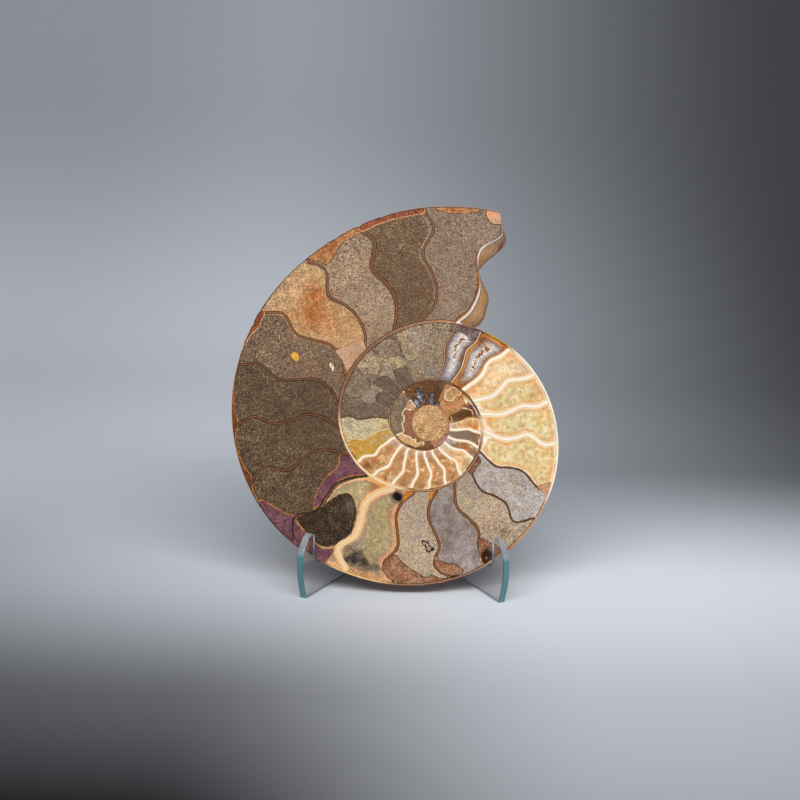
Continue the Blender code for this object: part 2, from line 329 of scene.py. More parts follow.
# Veins, stains, patches and cavities on the face: outlines of (angle, share) corners, by kind.
PATCHES = {
    "silt": (
        ((849.5, 0.2), (852, 0.16), (863, 0.2), (867, 0.24), (868.5, 0.44), (883, 0.47),
         (884.5, 0.36), (897, 0.36), (899, 0.45), (915, 0.46), (918, 0.55), (919, 1.03),
         (849, 1.03)),
    ),
    "biscuit": (
        ((919.5, 0.6), (922, 0.62), (927, 0.55), (932, 0.45), (934, 0.37), (938, 0.43), (943, 0.4),
         (947, 0.28), (950, 0.33), (953, 0.5), (957, 0.52), (961, 0.45), (965, 0.3), (969, 0.18),
         (971, 0.3), (973.5, 0.5), (972, 0.65), (968, 0.82), (962, 0.97), (950, 1.03),
         (919.5, 1.03)),
        ((761.5, 0.8), (763, 0.93), (768, 0.95), (777, 0.93), (779, 0.8), (782, 0.72),
         (782.5, 0.62), (780, 0.5), (778, 0.4), (772, 0.385), (766, 0.45), (763.5, 0.52),
         (766, 0.62), (763.5, 0.7)),
    ),
    "ghost": (
        ((457, 0.97), (454.5, 0.9), (453.3, 0.78), (454, 0.65), (457, 0.55), (460, 0.5),
         (462, 0.58), (461, 0.75), (463, 0.9), (464, 0.97)),
        ((484.5, 0.55), (487, 0.6), (490, 0.55), (494, 0.5), (498, 0.48), (494, 0.42),
         (489, 0.3), (486.5, 0.2), (486, 0.3), (485, 0.42)),
        ((504, 0.47), (509, 0.52), (514, 0.55), (520, 0.6), (521, 0.45), (518, 0.36),
         (512, 0.33), (506, 0.28), (504.5, 0.36)),
    ),
    "slab": (
        ((470.5, 0.5), (471, 0.62), (470, 0.75), (471.5, 0.86), (474, 0.93), (478, 0.97),
         (484, 0.96), (487, 0.9), (486, 0.75), (484, 0.66), (479, 0.62), (474, 0.58)),
        ((503.5, 0.93), (509, 0.97), (517, 0.97), (520, 0.93), (520.5, 0.8), (520, 0.65),
         (514, 0.55), (509, 0.52), (505, 0.56), (503, 0.7)),
    ),
    "smoke": (
        ((437.5, 1.02), (436.5, 0.87), (433, 0.83), (429.5, 0.87), (427, 0.85), (424, 0.77),
         (421.5, 0.79), (419, 0.88), (420, 1.02)),
    ),
    "speckled": (
        ((461.5, 0.75), (463, 0.9), (464, 0.97), (467, 0.96), (470.5, 0.92), (469.5, 0.75),
         (470.5, 0.6), (470, 0.45), (465, 0.38), (460, 0.4), (458, 0.5), (461.5, 0.58)),
        ((471, 0.35), (478, 0.36), (484, 0.4), (488, 0.5), (489, 0.65), (486, 0.75), (480, 0.68),
         (474, 0.62), (471, 0.5)),
        ((486.5, 0.75), (487.5, 0.95), (494, 0.97), (501, 0.96), (503, 0.8), (500, 0.65),
         (497, 0.52), (492, 0.55), (489, 0.65)),
        ((503, 0.25), (505, 0.5), (509, 0.56), (514, 0.5), (511, 0.37), (507, 0.29)),
    ),
    "gloom": (
        ((471, -0.02), (471, 0.3), (476, 0.33), (481, 0.375), (485, 0.36), (487, 0.25),
         (487, -0.02)),
        ((488.5, -0.02), (490, 0.25), (492, 0.4), (495, 0.47), (499, 0.5), (504, 0.52),
         (504, 0.3), (501, -0.02)),
        ((504, -0.02), (505, 0.25), (509, 0.33), (514, 0.36), (517, 0.25), (519, -0.02)),
    ),
    "purple": (
        ((197.8, 0.06), (199, 0.1), (203, 0.14), (205.3, 0.2), (206.3, 0.3), (208, 0.38),
         (210.5, 0.47), (213, 0.55), (215.8, 0.62), (215.6, 0.5), (213.8, 0.4), (212, 0.3),
         (211.5, 0.22), (212.6, 0.14), (215, 0.08), (218, 0.03), (219, -0.02), (199, -0.02)),
        ((203, 1.03), (204, 0.94), (207, 0.89), (211, 0.84), (213.5, 0.795), (216, 0.825),
         (221, 0.84), (225, 0.865), (228.5, 0.88), (230.5, 0.85), (231.7, 0.8), (232.6, 0.88),
         (232.3, 0.95), (233, 1.03)),
        ((690.5, 0.93), (692, 0.72), (693.5, 0.76), (695.5, 0.86), (699, 0.895), (704, 0.9),
         (707, 0.91), (707.5, 0.99), (700, 1.0), (692, 0.97)),
        ((725.5, 0.97), (726, 0.86), (728, 0.78), (731, 0.8), (734, 0.84), (737, 0.8),
         (740, 0.72), (743.5, 0.62), (746, 0.64), (745, 0.8), (743, 0.95), (742, 1.0)),
    ),
    "dark": (
        ((213.8, 0.8), (215, 0.72), (216, 0.62), (216.6, 0.55), (216.8, 0.45), (217.2, 0.35),
         (219, 0.28), (221.5, 0.27), (225, 0.3), (228.5, 0.36), (231, 0.43), (233, 0.55),
         (233.6, 0.6), (232.6, 0.7), (231.3, 0.78), (229.5, 0.84), (227, 0.865), (222, 0.845),
         (219, 0.825)),
    ),
    "ochre": (
        ((74.5, 1.03), (76.5, 0.965), (79.5, 0.94), (83.5, 0.935), (86, 0.955), (88, 0.985),
         (89, 1.03)),
        ((109.3, 0.93), (112, 0.925), (114.5, 0.935), (117, 0.905), (119, 0.865), (120.5, 0.85),
         (122.8, 0.84), (123.2, 0.88), (124.5, 0.93), (126.5, 1.03), (108, 1.03)),
    ),
    "clay": (
        ((250.7, 0.8), (252.5, 0.72), (254.5, 0.685), (257, 0.74), (260, 0.8), (263.5, 0.86),
         (266, 0.89), (262, 0.93), (258, 0.97), (254, 0.94), (251, 0.86)),
        ((270.8, 0.7), (271, 0.8), (273.5, 0.9), (277, 0.96), (281, 0.97), (282, 0.94),
         (280.5, 0.88), (279, 0.835), (275.5, 0.81), (273, 0.76), (272, 0.7)),
        ((289.3, 0.99), (289.7, 0.85), (290.8, 0.72), (292, 0.69), (294, 0.72), (295, 0.78),
         (297, 0.84), (299, 0.88), (300, 0.99)),
        ((255, 1.03), (258, 0.975), (262, 0.935), (265, 0.9), (268, 0.925), (270, 0.9),
         (272, 0.945), (276, 0.975), (284, 0.985), (288, 1.03)),
        ((307, -0.02), (308, 0.06), (312, 0.075), (316, 0.06), (322, 0.08), (324, 0.05),
         (326, -0.02)),
    ),
    "rust": (
        ((90.3, 1.03), (90.5, 0.95), (95, 0.945), (100, 0.95), (105, 0.945), (107, 0.93),
         (108.7, 0.945), (109.5, 1.03)),
        ((144.5, 1.03), (145.2, 0.965), (146.5, 0.945), (149, 0.94), (151, 0.95), (153, 0.975),
         (157, 0.99), (159, 1.03)),
    ),
    "rim": (
        ((165, 1.03), (167, 0.99), (173, 0.982), (176, 0.972), (178, 0.95), (179.5, 0.94),
         (181, 0.965), (184, 0.985), (189, 0.985), (193, 0.965), (195.5, 0.935), (197, 0.945),
         (199, 0.975), (203, 0.985), (203, 1.03)),
    ),
    "blush": (
        ((69, 1.03), (68, 0.9), (71.5, 0.885), (73, 0.91), (74, 0.95), (74.5, 1.03)),
    ),
    "frost": (
        ((333, -0.02), (338, 0.07), (343, 0.07), (347, 0.15), (352.5, 0.17), (357, 0.07),
         (363, 0.07), (366, 0.16), (370.5, 0.18), (375, 0.07), (380, 0.075), (383.5, 0.15),
         (388, 0.16), (393, 0.07), (399, -0.02)),
    ),
    "flesh": (
        ((127.2, 0.115), (131, 0.13), (135, 0.155), (139, 0.195), (141.8, 0.225), (143.5, 0.12),
         (147, 0.04), (150, -0.02), (131, -0.02), (129, 0.05)),
        ((328.3, 0.82), (330, 0.86), (331.5, 0.9), (333, 0.96), (333.5, 1.03), (327, 1.03),
         (327.7, 0.9)),
    ),
    "cream": (
        ((288.9, 0.99), (289.0, 0.92), (289.7, 0.865), (290.2, 0.875), (289.8, 0.93),
         (289.7, 0.99)),
        ((858, 0.1), (863, 0.12), (861, 0.2), (856, 0.18)),
        ((745.5, 0.76), (749, 0.92), (755, 0.94), (760, 0.94), (760, 0.85), (755, 0.82),
         (750, 0.78)),
        ((720, 0.085), (730, 0.1), (738, 0.12), (738.5, 0.15), (730, 0.135), (720, 0.115)),
        ((730, 0.78), (733, 0.81), (736, 0.79), (739, 0.71), (742, 0.61), (745, 0.56),
         (745.5, 0.6), (743, 0.69), (740, 0.77), (737, 0.85), (734, 0.86), (730, 0.83)),
    ),
    "vug": (
        ((265.3, 0.52), (266.5, 0.53), (267.5, 0.56), (268.2, 0.54), (268.4, 0.57), (269, 0.6),
         (270.8, 0.62), (271, 0.645), (269.5, 0.64), (268.8, 0.665), (267.4, 0.64),
         (267.2, 0.59), (265.5, 0.565)),
    ),
    "orange": (
        ((249.3, 0.13), (250.6, 0.12), (252, 0.08), (255, 0.035), (256, -0.02), (250, -0.02),
         (249.8, 0.06)),
        ((268.6, 0.1), (270, 0.1), (271.8, 0.05), (273.5, 0.01), (273, -0.02), (269, -0.02)),
    ),
    "chip": (
        ((151.2, 0.54), (152.4, 0.567), (153.6, 0.553), (154.1, 0.518), (154.8, 0.487),
         (153.4, 0.467), (152, 0.49)),
    ),
    "soot": (
        ((236, 0.89), (238, 0.8), (240.5, 0.73), (243, 0.78), (246, 0.84), (249.5, 0.83),
         (251, 0.87), (247, 0.91), (242, 0.88), (239, 0.92)),
    ),
    "honey": (
        ((148, 0.2), (149.2, 0.195), (150.2, 0.165), (151.3, 0.15), (149.5, 0.15), (148, 0.17)),
    ),
    "hole": (
        ((289.9, 0.97), (290.1, 0.9), (291, 0.855), (291.9, 0.87), (292.9, 0.835), (293.9, 0.86),
         (294.5, 0.905), (294.1, 0.95), (293.2, 0.955), (292.6, 0.98), (291, 0.985)),
    ),
    "druse": (
        ((800, 0.02), (810, 0.02), (811, 0.3), (808, 0.5), (802, 0.5), (799, 0.25)),
        ((820, 0.15), (828, 0.1), (835, 0.3), (836, 0.62), (829, 0.75), (821, 0.5)),
        ((783, 0.02), (792, 0.02), (790, 0.17), (784, 0.2)),
        ((978, 0.02), (990, 0.02), (990, 0.25), (983, 0.32)),
        ((838, 0.04), (846, 0.06), (848, 0.3), (842, 0.46), (836, 0.3)),
    ),
    "terracotta": (
        ((743.5, -0.03), (743, 0.3), (744, 0.55), (746.5, 0.7), (752, 0.8), (760, 0.84),
         (764, 0.7), (762, 0.55), (766, 0.4), (774, 0.36), (782, 0.38), (783, 0.2),
         (781, -0.03)),
    ),
    "resin": (
        ((972, 0.55), (980, 0.5), (990, 0.55), (998, 0.6), (996, 1.02), (940, 1.02),
         (946, 0.86), (960, 0.9)),
        ((812, 0.0), (817, 0.0), (818.5, 0.4), (816, 0.75), (813, 0.5)),
        ((836, 0.5), (841, 0.55), (850, 0.5), (850, 0.85), (838, 0.9)),
    ),
    "tan": (
        ((850.5, 0.05), (852, 0.14), (862, 0.17), (866, 0.3), (866, 0.42), (858, 0.48),
         (850.5, 0.5)),
    ),
}
PATCH_REACH = 3.0  # millimetres beyond which a depth in a patch no longer changes
OUTLINE_STEPS = 4  # along each side of an outline, so that it bends with the coil
TINY = 1e-9  # in place of a length of nothing

# Soft spots: angle, share, reach in millimetres, and how much lighter and how much warmer the
# stone is in the middle (negative: darker, cooler).
SPOTS = (
    (76, 0.3, 5, 0.12, 0.0), (79, 0.12, 4, 0.1, 0.0), (74, 0.6, 4, -0.04, 0.05),
    (92, 0.25, 5, -0.05, 0.12), (100, 0.62, 6, 0.06, 0.0), (97, 0.9, 5, 0.03, 0.1),
    (115, 0.72, 6, 0.1, 0.02), (113, 0.25, 6, 0.1, -0.06), (120, 0.12, 5, -0.02, 0.12),
    (122, 0.5, 3, 0.04, -0.05), (131, 0.7, 5, -0.16, 0.9), (137, 0.58, 6.5, -0.2, 0.9),
    (128, 0.5, 3, 0.0, 0.25), (133, 0.42, 4, 0.06, 0.3), (135, 0.3, 5, -0.06, 0.25),
    (134, 0.9, 7, 0.1, -0.02), (141.5, 0.75, 3, -0.02, 0.35), (139, 0.36, 3, 0.1, 0.12),
    (127, 0.25, 4, -0.04, 0.25), (155, 0.35, 6, 0.06, 0.1), (147, 0.3, 4, 0.0, -0.08),
    (157, 0.8, 4, 0.08, 0.05), (150, 0.6, 4, -0.04, 0.0), (171, 0.5, 8, -0.04, 0.0),
    (187, 0.82, 5, 0.0, 0.15), (184, 0.25, 5, 0.02, 0.1), (206, 0.6, 8, -0.03, 0.0),
    (219, 0.13, 4, 0.1, 0.0), (228.5, 0.07, 3.5, 0.0, 0.75), (229, 0.22, 3.5, 0.3, 0.25),
    (224, 0.19, 3, 0.2, 0.0), (224.5, 0.36, 2.2, 0.6, -0.15), (213, 0.3, 1.6, 0.35, 0.3),
    (243, 0.84, 7, -0.24, 0.1), (236, 0.76, 4.5, -0.42, -0.1), (238, 0.66, 3, 0.05, -0.3),
    (246.2, 0.095, 2.1, -1.3, -0.3), (243.6, 0.08, 2.0, -0.8, -0.2), (240, 0.5, 6, 0.04, 0.0),
    (245, 0.3, 4, 0.05, 0.3), (258, 0.78, 6, 0.05, 0.15), (264, 0.45, 7, 0.04, 0.06),
    (256, 0.2, 5, 0.0, -0.1), (279, 0.5, 7, -0.18, 0.0), (277, 0.24, 5, -0.12, -0.08),
    (283, 0.85, 6, 0.14, -0.08), (274, 0.8, 4, 0.04, 0.05), (285, 0.3, 5, -0.06, 0.06),
    (300, 0.66, 7, 0.06, 0.2), (303.6, 0.81, 1.8, -0.4, 0.2), (297, 0.4, 4, 0.03, -0.04),
    (319, 0.85, 8, 0.1, -0.18), (322, 0.45, 7, -0.03, 0.03), (320, 0.15, 5, -0.04, 0.02),
    (327, 0.55, 4, -0.08, 0.12), (341, 0.55, 1.8, -0.16, 0.4), (345, 0.3, 4, 0.0, 0.3),
    (300, 0.15, 6, -0.1, -0.08), (337, 0.76, 3, -0.02, 0.2), (338, 0.93, 4, 0.0, 0.3),
    (352, 0.12, 4, 0.03, 0.2), (357, 0.45, 6, -0.03, -0.06), (345, 0.84, 3, -0.02, 0.2),
    (371, 0.12, 4, 0.02, 0.25), (362, 0.1, 3, 0.0, 0.4), (364, 0.85, 4, 0.0, 0.25),
    (374, 0.8, 3, -0.1, 0.3), (376, 0.45, 5, -0.02, -0.06), (380, 0.88, 3, 0.0, 0.3),
    (396, 0.12, 5, 0.0, 0.35), (390, 0.88, 3, -0.06, -0.3), (397, 0.9, 2.6, -0.04, 0.35),
    (394, 0.5, 5, 0.04, 0.04), (404, 0.92, 2.4, -0.05, 0.9), (408, 0.06, 4, -0.3, 0.7),
    (405.5, 0.6, 1.8, -0.05, 0.7), (417, 0.86, 3, -0.5, 1.0), (425, 0.8, 1.4, 0.5, -0.3),
    (417.5, 0.2, 2.4, -0.15, 0.5), (422.5, 0.45, 1.5, -0.1, 0.9), (422.5, 0.62, 1.4, -0.15, 0.9),
    (437, 0.5, 1.6, 0.1, 0.5), (428, 0.12, 4, 0.2, -0.35), (422, 0.85, 2.4, 0.2, -0.3),
    (446, 0.7, 6, 0.05, 0.0), (450, 0.13, 2.5, -0.16, -0.25), (463, 0.08, 3, 0.1, 0.25),
    (479, 0.85, 4, 0.0, 0.05), (509, 0.85, 4, -0.02, 0.02), (527, 0.5, 6, -0.12, -0.05),
    (527, 0.9, 4, -0.06, 0.0), (465, 0.14, 3.5, -0.14, 0.0), (513, 0.55, 5, -0.1, 0.0),
    (541, 0.85, 2.5, -0.1, -0.25), (540, 0.5, 3, 0.08, -0.1), (546, 0.12, 2, -0.1, 0.5),
    (556, 0.85, 3, -0.02, 0.2), (558, 0.3, 3, -0.08, -0.1), (554, 0.12, 3, 0.04, -0.25),
    (573, 0.88, 2.2, -0.2, 0.5), (575, 0.65, 2.2, -0.12, 0.2), (574, 0.3, 2.6, 0.12, 0.1),
    (684, 0.55, 2.4, -0.15, 0.7), (677, 0.55, 1.2, 0.0, 0.3), (679, 0.24, 2.2, -0.2, -0.15),
    (672, 0.1, 2.6, 0.12, -0.5), (713, 0.75, 1.8, 0.0, 0.9), (718, 0.6, 1.4, -0.1, 0.4),
    (711, 0.14, 2.4, 0.05, -0.35), (568, 0.12, 2.6, 0.16, -0.2), (730, 0.5, 1.2, 0.35, 0.8),
    (738, 0.3, 2, -0.1, 0.0),
)
CELLS = range(28, 36)  # the small amber chambers, which repeat the same spots
CELL_SPOTS = (  # part of the way through the cell, share, reach, lighter, warmer
    (0.26, 0.66, 1.7, 0.1, 0.5), (0.5, 0.9, 2.0, -0.26, 0.2), (0.5, 0.28, 1.9, -0.2, 0.3),
    (0.8, 0.8, 1.4, 0.1, -0.25), (0.5, 0.5, 1.6, 0.08, 0.1), (0.5, 0.14, 2.2, 0.1, -0.3),
)


def on_face(angle, share):
    """Places on the face, X and Z in millimetres."""
    return in_plane(angle, across(angle, share), np.zeros(len(angle)))[:, [0, 2]]


def outline_depth(spots, outline):
    """How deep points lie inside an outline, negative outside: the distance to its nearest
    edge, signed by whether a ray from the point crosses the outline an odd number of times."""
    corners = np.array(outline + outline[:1], float)
    steps = np.linspace(0.0, 1.0, OUTLINE_STEPS, endpoint=False)[None, :, None]
    path = (corners[:-1, None] * (1 - steps) + corners[1:, None] * steps).reshape(-1, 2)
    edge = on_face(path[:, 0], path[:, 1])
    depth = np.full(len(spots), -PATCH_REACH)
    close = np.all((spots > edge.min(0) - PATCH_REACH) & (spots < edge.max(0) + PATCH_REACH), 1)
    near = spots[close][:, None]
    start, end = edge[None], np.roll(edge, -1, 0)[None]
    run = end - start
    along = np.clip(((near - start) * run).sum(-1) / np.maximum((run**2).sum(-1), TINY), 0, 1)
    gap = np.sqrt((((start + along[..., None] * run) - near) ** 2).sum(-1)).min(1)
    above = (start[..., 1] > near[..., 1]) != (end[..., 1] > near[..., 1])
    level = (near[..., 1] - start[..., 1]) / np.where(run[..., 1] == 0, TINY, run[..., 1])
    crossed = above & (near[..., 0] < start[..., 0] + level * run[..., 0])
    depth[close] = np.where(crossed.sum(1) % 2 == 1, gap, -gap)
    return np.clip(depth, -PATCH_REACH, PATCH_REACH)


def patch_depth(spots, kind):
    """How deep points lie in one kind of patch: the most that they lie in any outline of it."""
    return np.max([outline_depth(spots, outline) for outline in PATCHES[kind]], axis=0)


def cell_spots():
    """The spots that each cell of CELLS repeats, at their part of the way through the cell."""
    for number in CELLS:
        for part, share, *rest in CELL_SPOTS:
            near, far = (np.interp(share, WALL_SHARES, CHAMBER_WALLS[number + k]) for k in (0, 1))
            yield near + (far - near) * part, share, *rest


def soft_spots(spots, column):
    """The sum of the soft spots' amounts from one column: each fades as a bell curve with the
    square of the distance from its middle over its reach."""
    total = np.zeros(len(spots))
    for angle, share, reach, *amounts in (*SPOTS, *cell_spots()):
        middle = on_face(np.array([angle]), np.array([share]))
        total += amounts[column] * np.exp(-((spots - middle) ** 2).sum(-1) / reach**2)
    return total


def even_noise(spots, size, seed):
    """Smooth noise from -1 to 1 in two dimensions: random values on a lattice, blended between
    its corners with a smooth step."""
    table = np.random.default_rng(seed).uniform(-1.0, 1.0, (LATTICE, LATTICE))
    scaled = spots / size
    cell = np.floor(scaled).astype(int)
    part = scaled - cell
    part = part * part * (3.0 - 2.0 * part)
    x0, y0 = cell[..., 0] % LATTICE, cell[..., 1] % LATTICE
    x1, y1 = (x0 + 1) % LATTICE, (y0 + 1) % LATTICE
    low = table[x0, y0] * (1 - part[..., 0]) + table[x1, y0] * part[..., 0]
    high = table[x0, y1] * (1 - part[..., 0]) + table[x1, y1] * part[..., 0]
    return low * (1 - part[..., 1]) + high * part[..., 1]


def add_patches(part, cavity):
    """Puts how deep each point lies in each kind of patch, and its soft spots' amounts, among
    the part's values, and sinks the face where a cavity is open, by its depth on a rough slope."""
    spots = part.points[:, [0, 2]]
    for kind in PATCHES:
        part.values[kind] = patch_depth(spots, kind)
    part.values["tone"], part.values["warmth"] = soft_spots(spots, 0), soft_spots(spots, 1)
    deepest = np.maximum(part.values["hole"], DRUSE_DEPTH * part.values["druse"])
    sunk = np.clip(deepest / PIT_SLOPE, 0.0, 1.0)
    rough = even_noise(spots, PIT_GRAIN, PIT_SEED)
    part.points[:, 1] += cavity * sunk * (1.0 + PIT_ROUGHNESS * rough)


def chamber_place(angle, share):
    """A point's place along the row of chambers: whole on each chamber wall, and in even parts
    between two walls. Each column of the grid is at one share across the whorl."""
    lines = np.stack(
        [smooth_curve(tuple(zip(WALL_SHARES, wall)), share[0]) for wall in CHAMBER_WALLS]
    )
    number = np.arange(len(CHAMBER_WALLS))
    place = np.empty_like(angle)
    for column, line in enumerate(lines.T):
        place[:, column] = np.interp(angle[:, column], line, number)
    return place


NO_QUADS, NO_TRIANGLES = np.zeros((0, 4), int), np.zeros((0, 3), int)


class Surface:
    """Points in millimetres in the shell's frame, quads and triangles of their numbers, a value
    of each name at each point, and which material it takes."""

    def __init__(self, points, values, material, quads=NO_QUADS, triangles=NO_TRIANGLES):
        self.points, self.quads, self.triangles, self.material = points, quads, triangles, material
        self.values = {name: np.ravel(value) for name, value in values.items()}


def sheet(grid, values, material):
    """The surface of a grid of points."""
    return Surface(grid.reshape(-1, 3), values, material, grid_faces(*grid.shape[:2]))


def grid_faces(columns, rows):
    """Quads between neighbours on a grid of vertices."""
    index = np.arange(columns * rows).reshape(columns, rows)
    corners = (index[:-1, :-1], index[1:, :-1], index[1:, 1:], index[:-1, 1:])
    return np.stack([corner.ravel() for corner in corners], axis=1)


def zip_faces(upper, lower, upper_radius, lower_radius):
    """Triangles between two rows of vertices that run inwards and share both ends. Both rows'
    steps are taken in the order of their radii, and each step makes one triangle."""
    steps = np.argsort(-np.concatenate((upper_radius[1:], lower_radius[1:])), kind="stable")
    on_upper = steps < len(upper) - 1
    above, below = np.cumsum(on_upper), np.cumsum(~on_upper)
    before = np.where(on_upper, upper[above - on_upper], lower[below - ~on_upper])
    after = np.where(on_upper, upper[above], lower[below])
    across_row = np.where(on_upper, lower[below], upper[above])
    return np.stack((before, after, across_row), axis=1)


def face_surface():
    """The polished face: the coil as one strip from the mouth inwards, rows going from each
    whorl's inner wall to its outer one, and a disc of rings in the middle."""
    angle, share = np.meshgrid(coil_angles(BREAK_START, FACE_END), face_shares(), indexing="ij")
    moved, radius, depth = follow_break(angle, lambda at: (across(at, share), 0.0 * at))
    strip = in_plane(moved, radius, depth)
    place = chamber_place(moved, share)
    values = {
        "chamber": place,
        "share": share,
        "whorl_mm": wall_radius(moved) - wall_radius(moved + WHORL),
        "chamber_mm": chamber_width(strip, place),
        "turn": moved / WHORL,
    }
    inwards = np.tile(np.linspace(1.0, 0.0, DISC_ROWS + 1), (TURN_COLUMNS + 1, 1))
    disc = strip[LAST_WHORL, :1] * inwards[..., None]
    disc_values = {
        "chamber": np.full_like(inwards, DISC_PLACE),
        "share": inwards - 1.0,
        "whorl_mm": np.full_like(inwards, DISC_RADIUS),
        "chamber_mm": np.full_like(inwards, DISC_RADIUS),
        "turn": np.broadcast_to(moved[LAST_WHORL, :1] / WHORL, inwards.shape),
    }
    return sheet(strip, values, FACE), sheet(disc, disc_values, FACE), strip[0, ::-1]


def back_surface(ribs):
    """Flank and navel behind the face. The flank goes once round. The navel's band winds in, each
    whorl's outer edge being the inner edge of the one before, and a fan fills what is left. The
    last two values are the edges that the mouth joins."""
    angle, share = np.meshgrid(
        coil_angles(BREAK_START, BREAK_START + WHORL), np.linspace(0.0, 1.0, FLANK_ROWS + 1),
        indexing="ij",
    )
    moved, radius, depth = follow_break(angle, lambda at: flank_point(at, share))
    flank = in_plane(moved, radius, depth - ribs * rib_groove(moved, share))
    flank_values = {"turn": moved / WHORL, "share": share}
    angle, share = np.meshgrid(
        coil_angles(BREAK_START, BREAK_START + WHORL * NAVEL_WHORLS),
        np.linspace(0.0, 1.0, NAVEL_ROWS + 1), indexing="ij",
    )
    moved, radius, depth = follow_break(angle, lambda at: navel_point(at, share))
    navel = in_plane(moved, radius, depth)
    navel_values = {"turn": moved / WHORL, "share": 1.0 + share}
    edge = np.concatenate((navel[LAST_WHORL, -1], navel[-1, -2::-1]))
    middle = np.array([[0.0, edge[:, 1].mean(), 0.0]])
    count = len(edge)
    spokes = np.stack((np.arange(count - 1), np.arange(1, count), np.full(count - 1, count)), 1)
    fan_values = {"turn": np.zeros(count + 1), "share": np.full(count + 1, 2.0)}
    return (
        sheet(flank, flank_values, BACK),
        sheet(navel, navel_values, BACK),
        Surface(np.concatenate((edge, middle)), fan_values, BACK, triangles=spokes),
        np.concatenate((flank[0], navel[0, 1:])),
        flank[-1],
    )


def rib_groove(angle, share):
    """Grooves between the flank's ribs, 0 to 1: a wave round the coil that bends forwards and
    back like a drawn-out S, and dies out towards the rim and the navel."""
    bend = RIB_BEND * np.sin(2.0 * np.pi * share)
    wave = 0.5 - 0.5 * np.cos(np.radians(angle + bend) * RIBS)
    return wave * np.sin(np.pi * np.clip((share - RIBS_FROM) / RIBS_OVER, 0.0, 1.0)) ** 2


def mouth_surface(top, face_edge, foot):
    """The broken chamber wall: from its edge on the flank (top) down to the polished face's edge
    and to the whorl that it stands on (foot). Each row keeps its radii, goes a further share of
    the way down, and lies where the break does at that radius and depth."""
    radius = np.hypot(top[:, 0], top[:, 2])
    floor = foot_depth(radius)
    down = np.arange(MOUTH_ROWS)[:, None] / MOUTH_ROWS
    depth = top[:, 1] + (floor - top[:, 1]) * down
    rows = in_plane(break_angle(radius, depth), radius + 0.0 * depth, depth)
    rows[:, -1] = top[-1]
    rows[0] = top
    lower = np.concatenate((face_edge, foot[1:]))
    last = (MOUTH_ROWS - 1) * len(top) + np.arange(len(top))
    below = MOUTH_ROWS * len(top) + np.arange(len(lower))
    zipped = zip_faces(last, below, radius, np.hypot(lower[:, 0], lower[:, 2]))
    points = np.concatenate((rows.reshape(-1, 3), lower))
    spread = np.hypot(points[:, 0], points[:, 2])
    values = {"share": mouth_share(spread), "depth_mm": points[:, 1] - foot_depth(spread)}
    return Surface(points, values, MOUTH, grid_faces(MOUTH_ROWS, len(top)), zipped)


def foot_depth(radius):
    """Depth of the whorl inside the last one, where the break stands on it: 0 further out."""
    inner, outer = seam_radius(BREAK_START), wall_radius(BREAK_START + WHORL)
    out = np.clip((radius - inner) / (outer - inner), 0.0, 1.0)
    return half_thickness(BREAK_START + WHORL) * (1.0 - out**2) ** FLANK_POWER


def joined_mesh(name, parts, place):
    """One closed mesh of several surfaces: their arrays put end to end, then vertices that
    coincide welded. Values are kept at the corners, where they may jump at a seam."""
    starts = np.cumsum([0] + [len(part.points) for part in parts])
    points = place(np.concatenate([part.points for part in parts]))
    groups = [(part.quads + start, part.material) for part, start in zip(parts, starts)]
    groups += [(part.triangles + start, part.material) for part, start in zip(parts, starts)]
    flat = np.concatenate([faces.ravel() for faces, _ in groups])
    counts = np.concatenate([np.full(len(faces), faces.shape[1]) for faces, _ in groups])
    slots = np.concatenate([np.full(len(faces), material) for faces, material in groups])
    mesh = bpy.data.meshes.new(name)
    mesh.vertices.add(len(points))
    mesh.vertices.foreach_set("co", points.astype(np.float32).ravel())
    mesh.loops.add(len(flat))
    mesh.loops.foreach_set("vertex_index", flat.astype(np.int32))
    mesh.polygons.add(len(counts))
    mesh.polygons.foreach_set("loop_start", (np.cumsum(counts) - counts).astype(np.int32))
    mesh.polygons.foreach_set("material_index", slots.astype(np.int32))
    mesh.polygons.foreach_set("use_smooth", np.ones(len(counts), bool))
    mesh.update(calc_edges=True)
    for key in sorted({key for part in parts for key in part.values}):
        column = [part.values.get(key, np.zeros(len(part.points))) for part in parts]
        layer = mesh.attributes.new(key, "FLOAT", "CORNER")
        layer.data.foreach_set("value", np.concatenate(column)[flat].astype(np.float32))
    close_up(mesh, WELD)
    mesh.set_sharp_from_angle(angle=SHARP_EDGE)
    return add_thing(name, mesh)


def close_up(mesh, gap):
    """Welds vertices no further apart than the gap, turns all faces outwards, and stops the
    build if the mesh is still open somewhere."""
    solid = bmesh.new()
    solid.from_mesh(mesh)
    bmesh.ops.remove_doubles(solid, verts=solid.verts, dist=gap)
    bmesh.ops.recalc_face_normals(solid, faces=solid.faces)
    open_edges = sum(len(edge.link_faces) != 2 for edge in solid.edges)
    solid.to_mesh(mesh)
    solid.free()
    if open_edges:
        raise RuntimeError(f"{mesh.name} has {open_edges} open edges")


def add_thing(name, data):
    """Makes an object of the data and puts it in the scene."""
    thing = bpy.data.objects.new(name, data)
    bpy.context.scene.collection.objects.link(thing)
    return thing


def chamber_width(points, place):
    """Millimetres across one chamber: one over the steepest slope of the place over the face,
    whose square comes from the differences along the grid's two directions."""
    (along, out), (place_along, place_out) = (
        (np.gradient(values, axis=0), np.gradient(values, axis=1)) for values in (points, place)
    )
    long, slant, wide = (along**2).sum(-1), (along * out).sum(-1), (out**2).sum(-1)
    slope = wide * place_along**2 - 2 * slant * place_along * place_out + long * place_out**2
    slope = slope / np.maximum(long * wide - slant * slant, SMALLEST_AREA)
    return 1.0 / np.sqrt(np.maximum(slope, WIDEST_CHAMBER**-2))


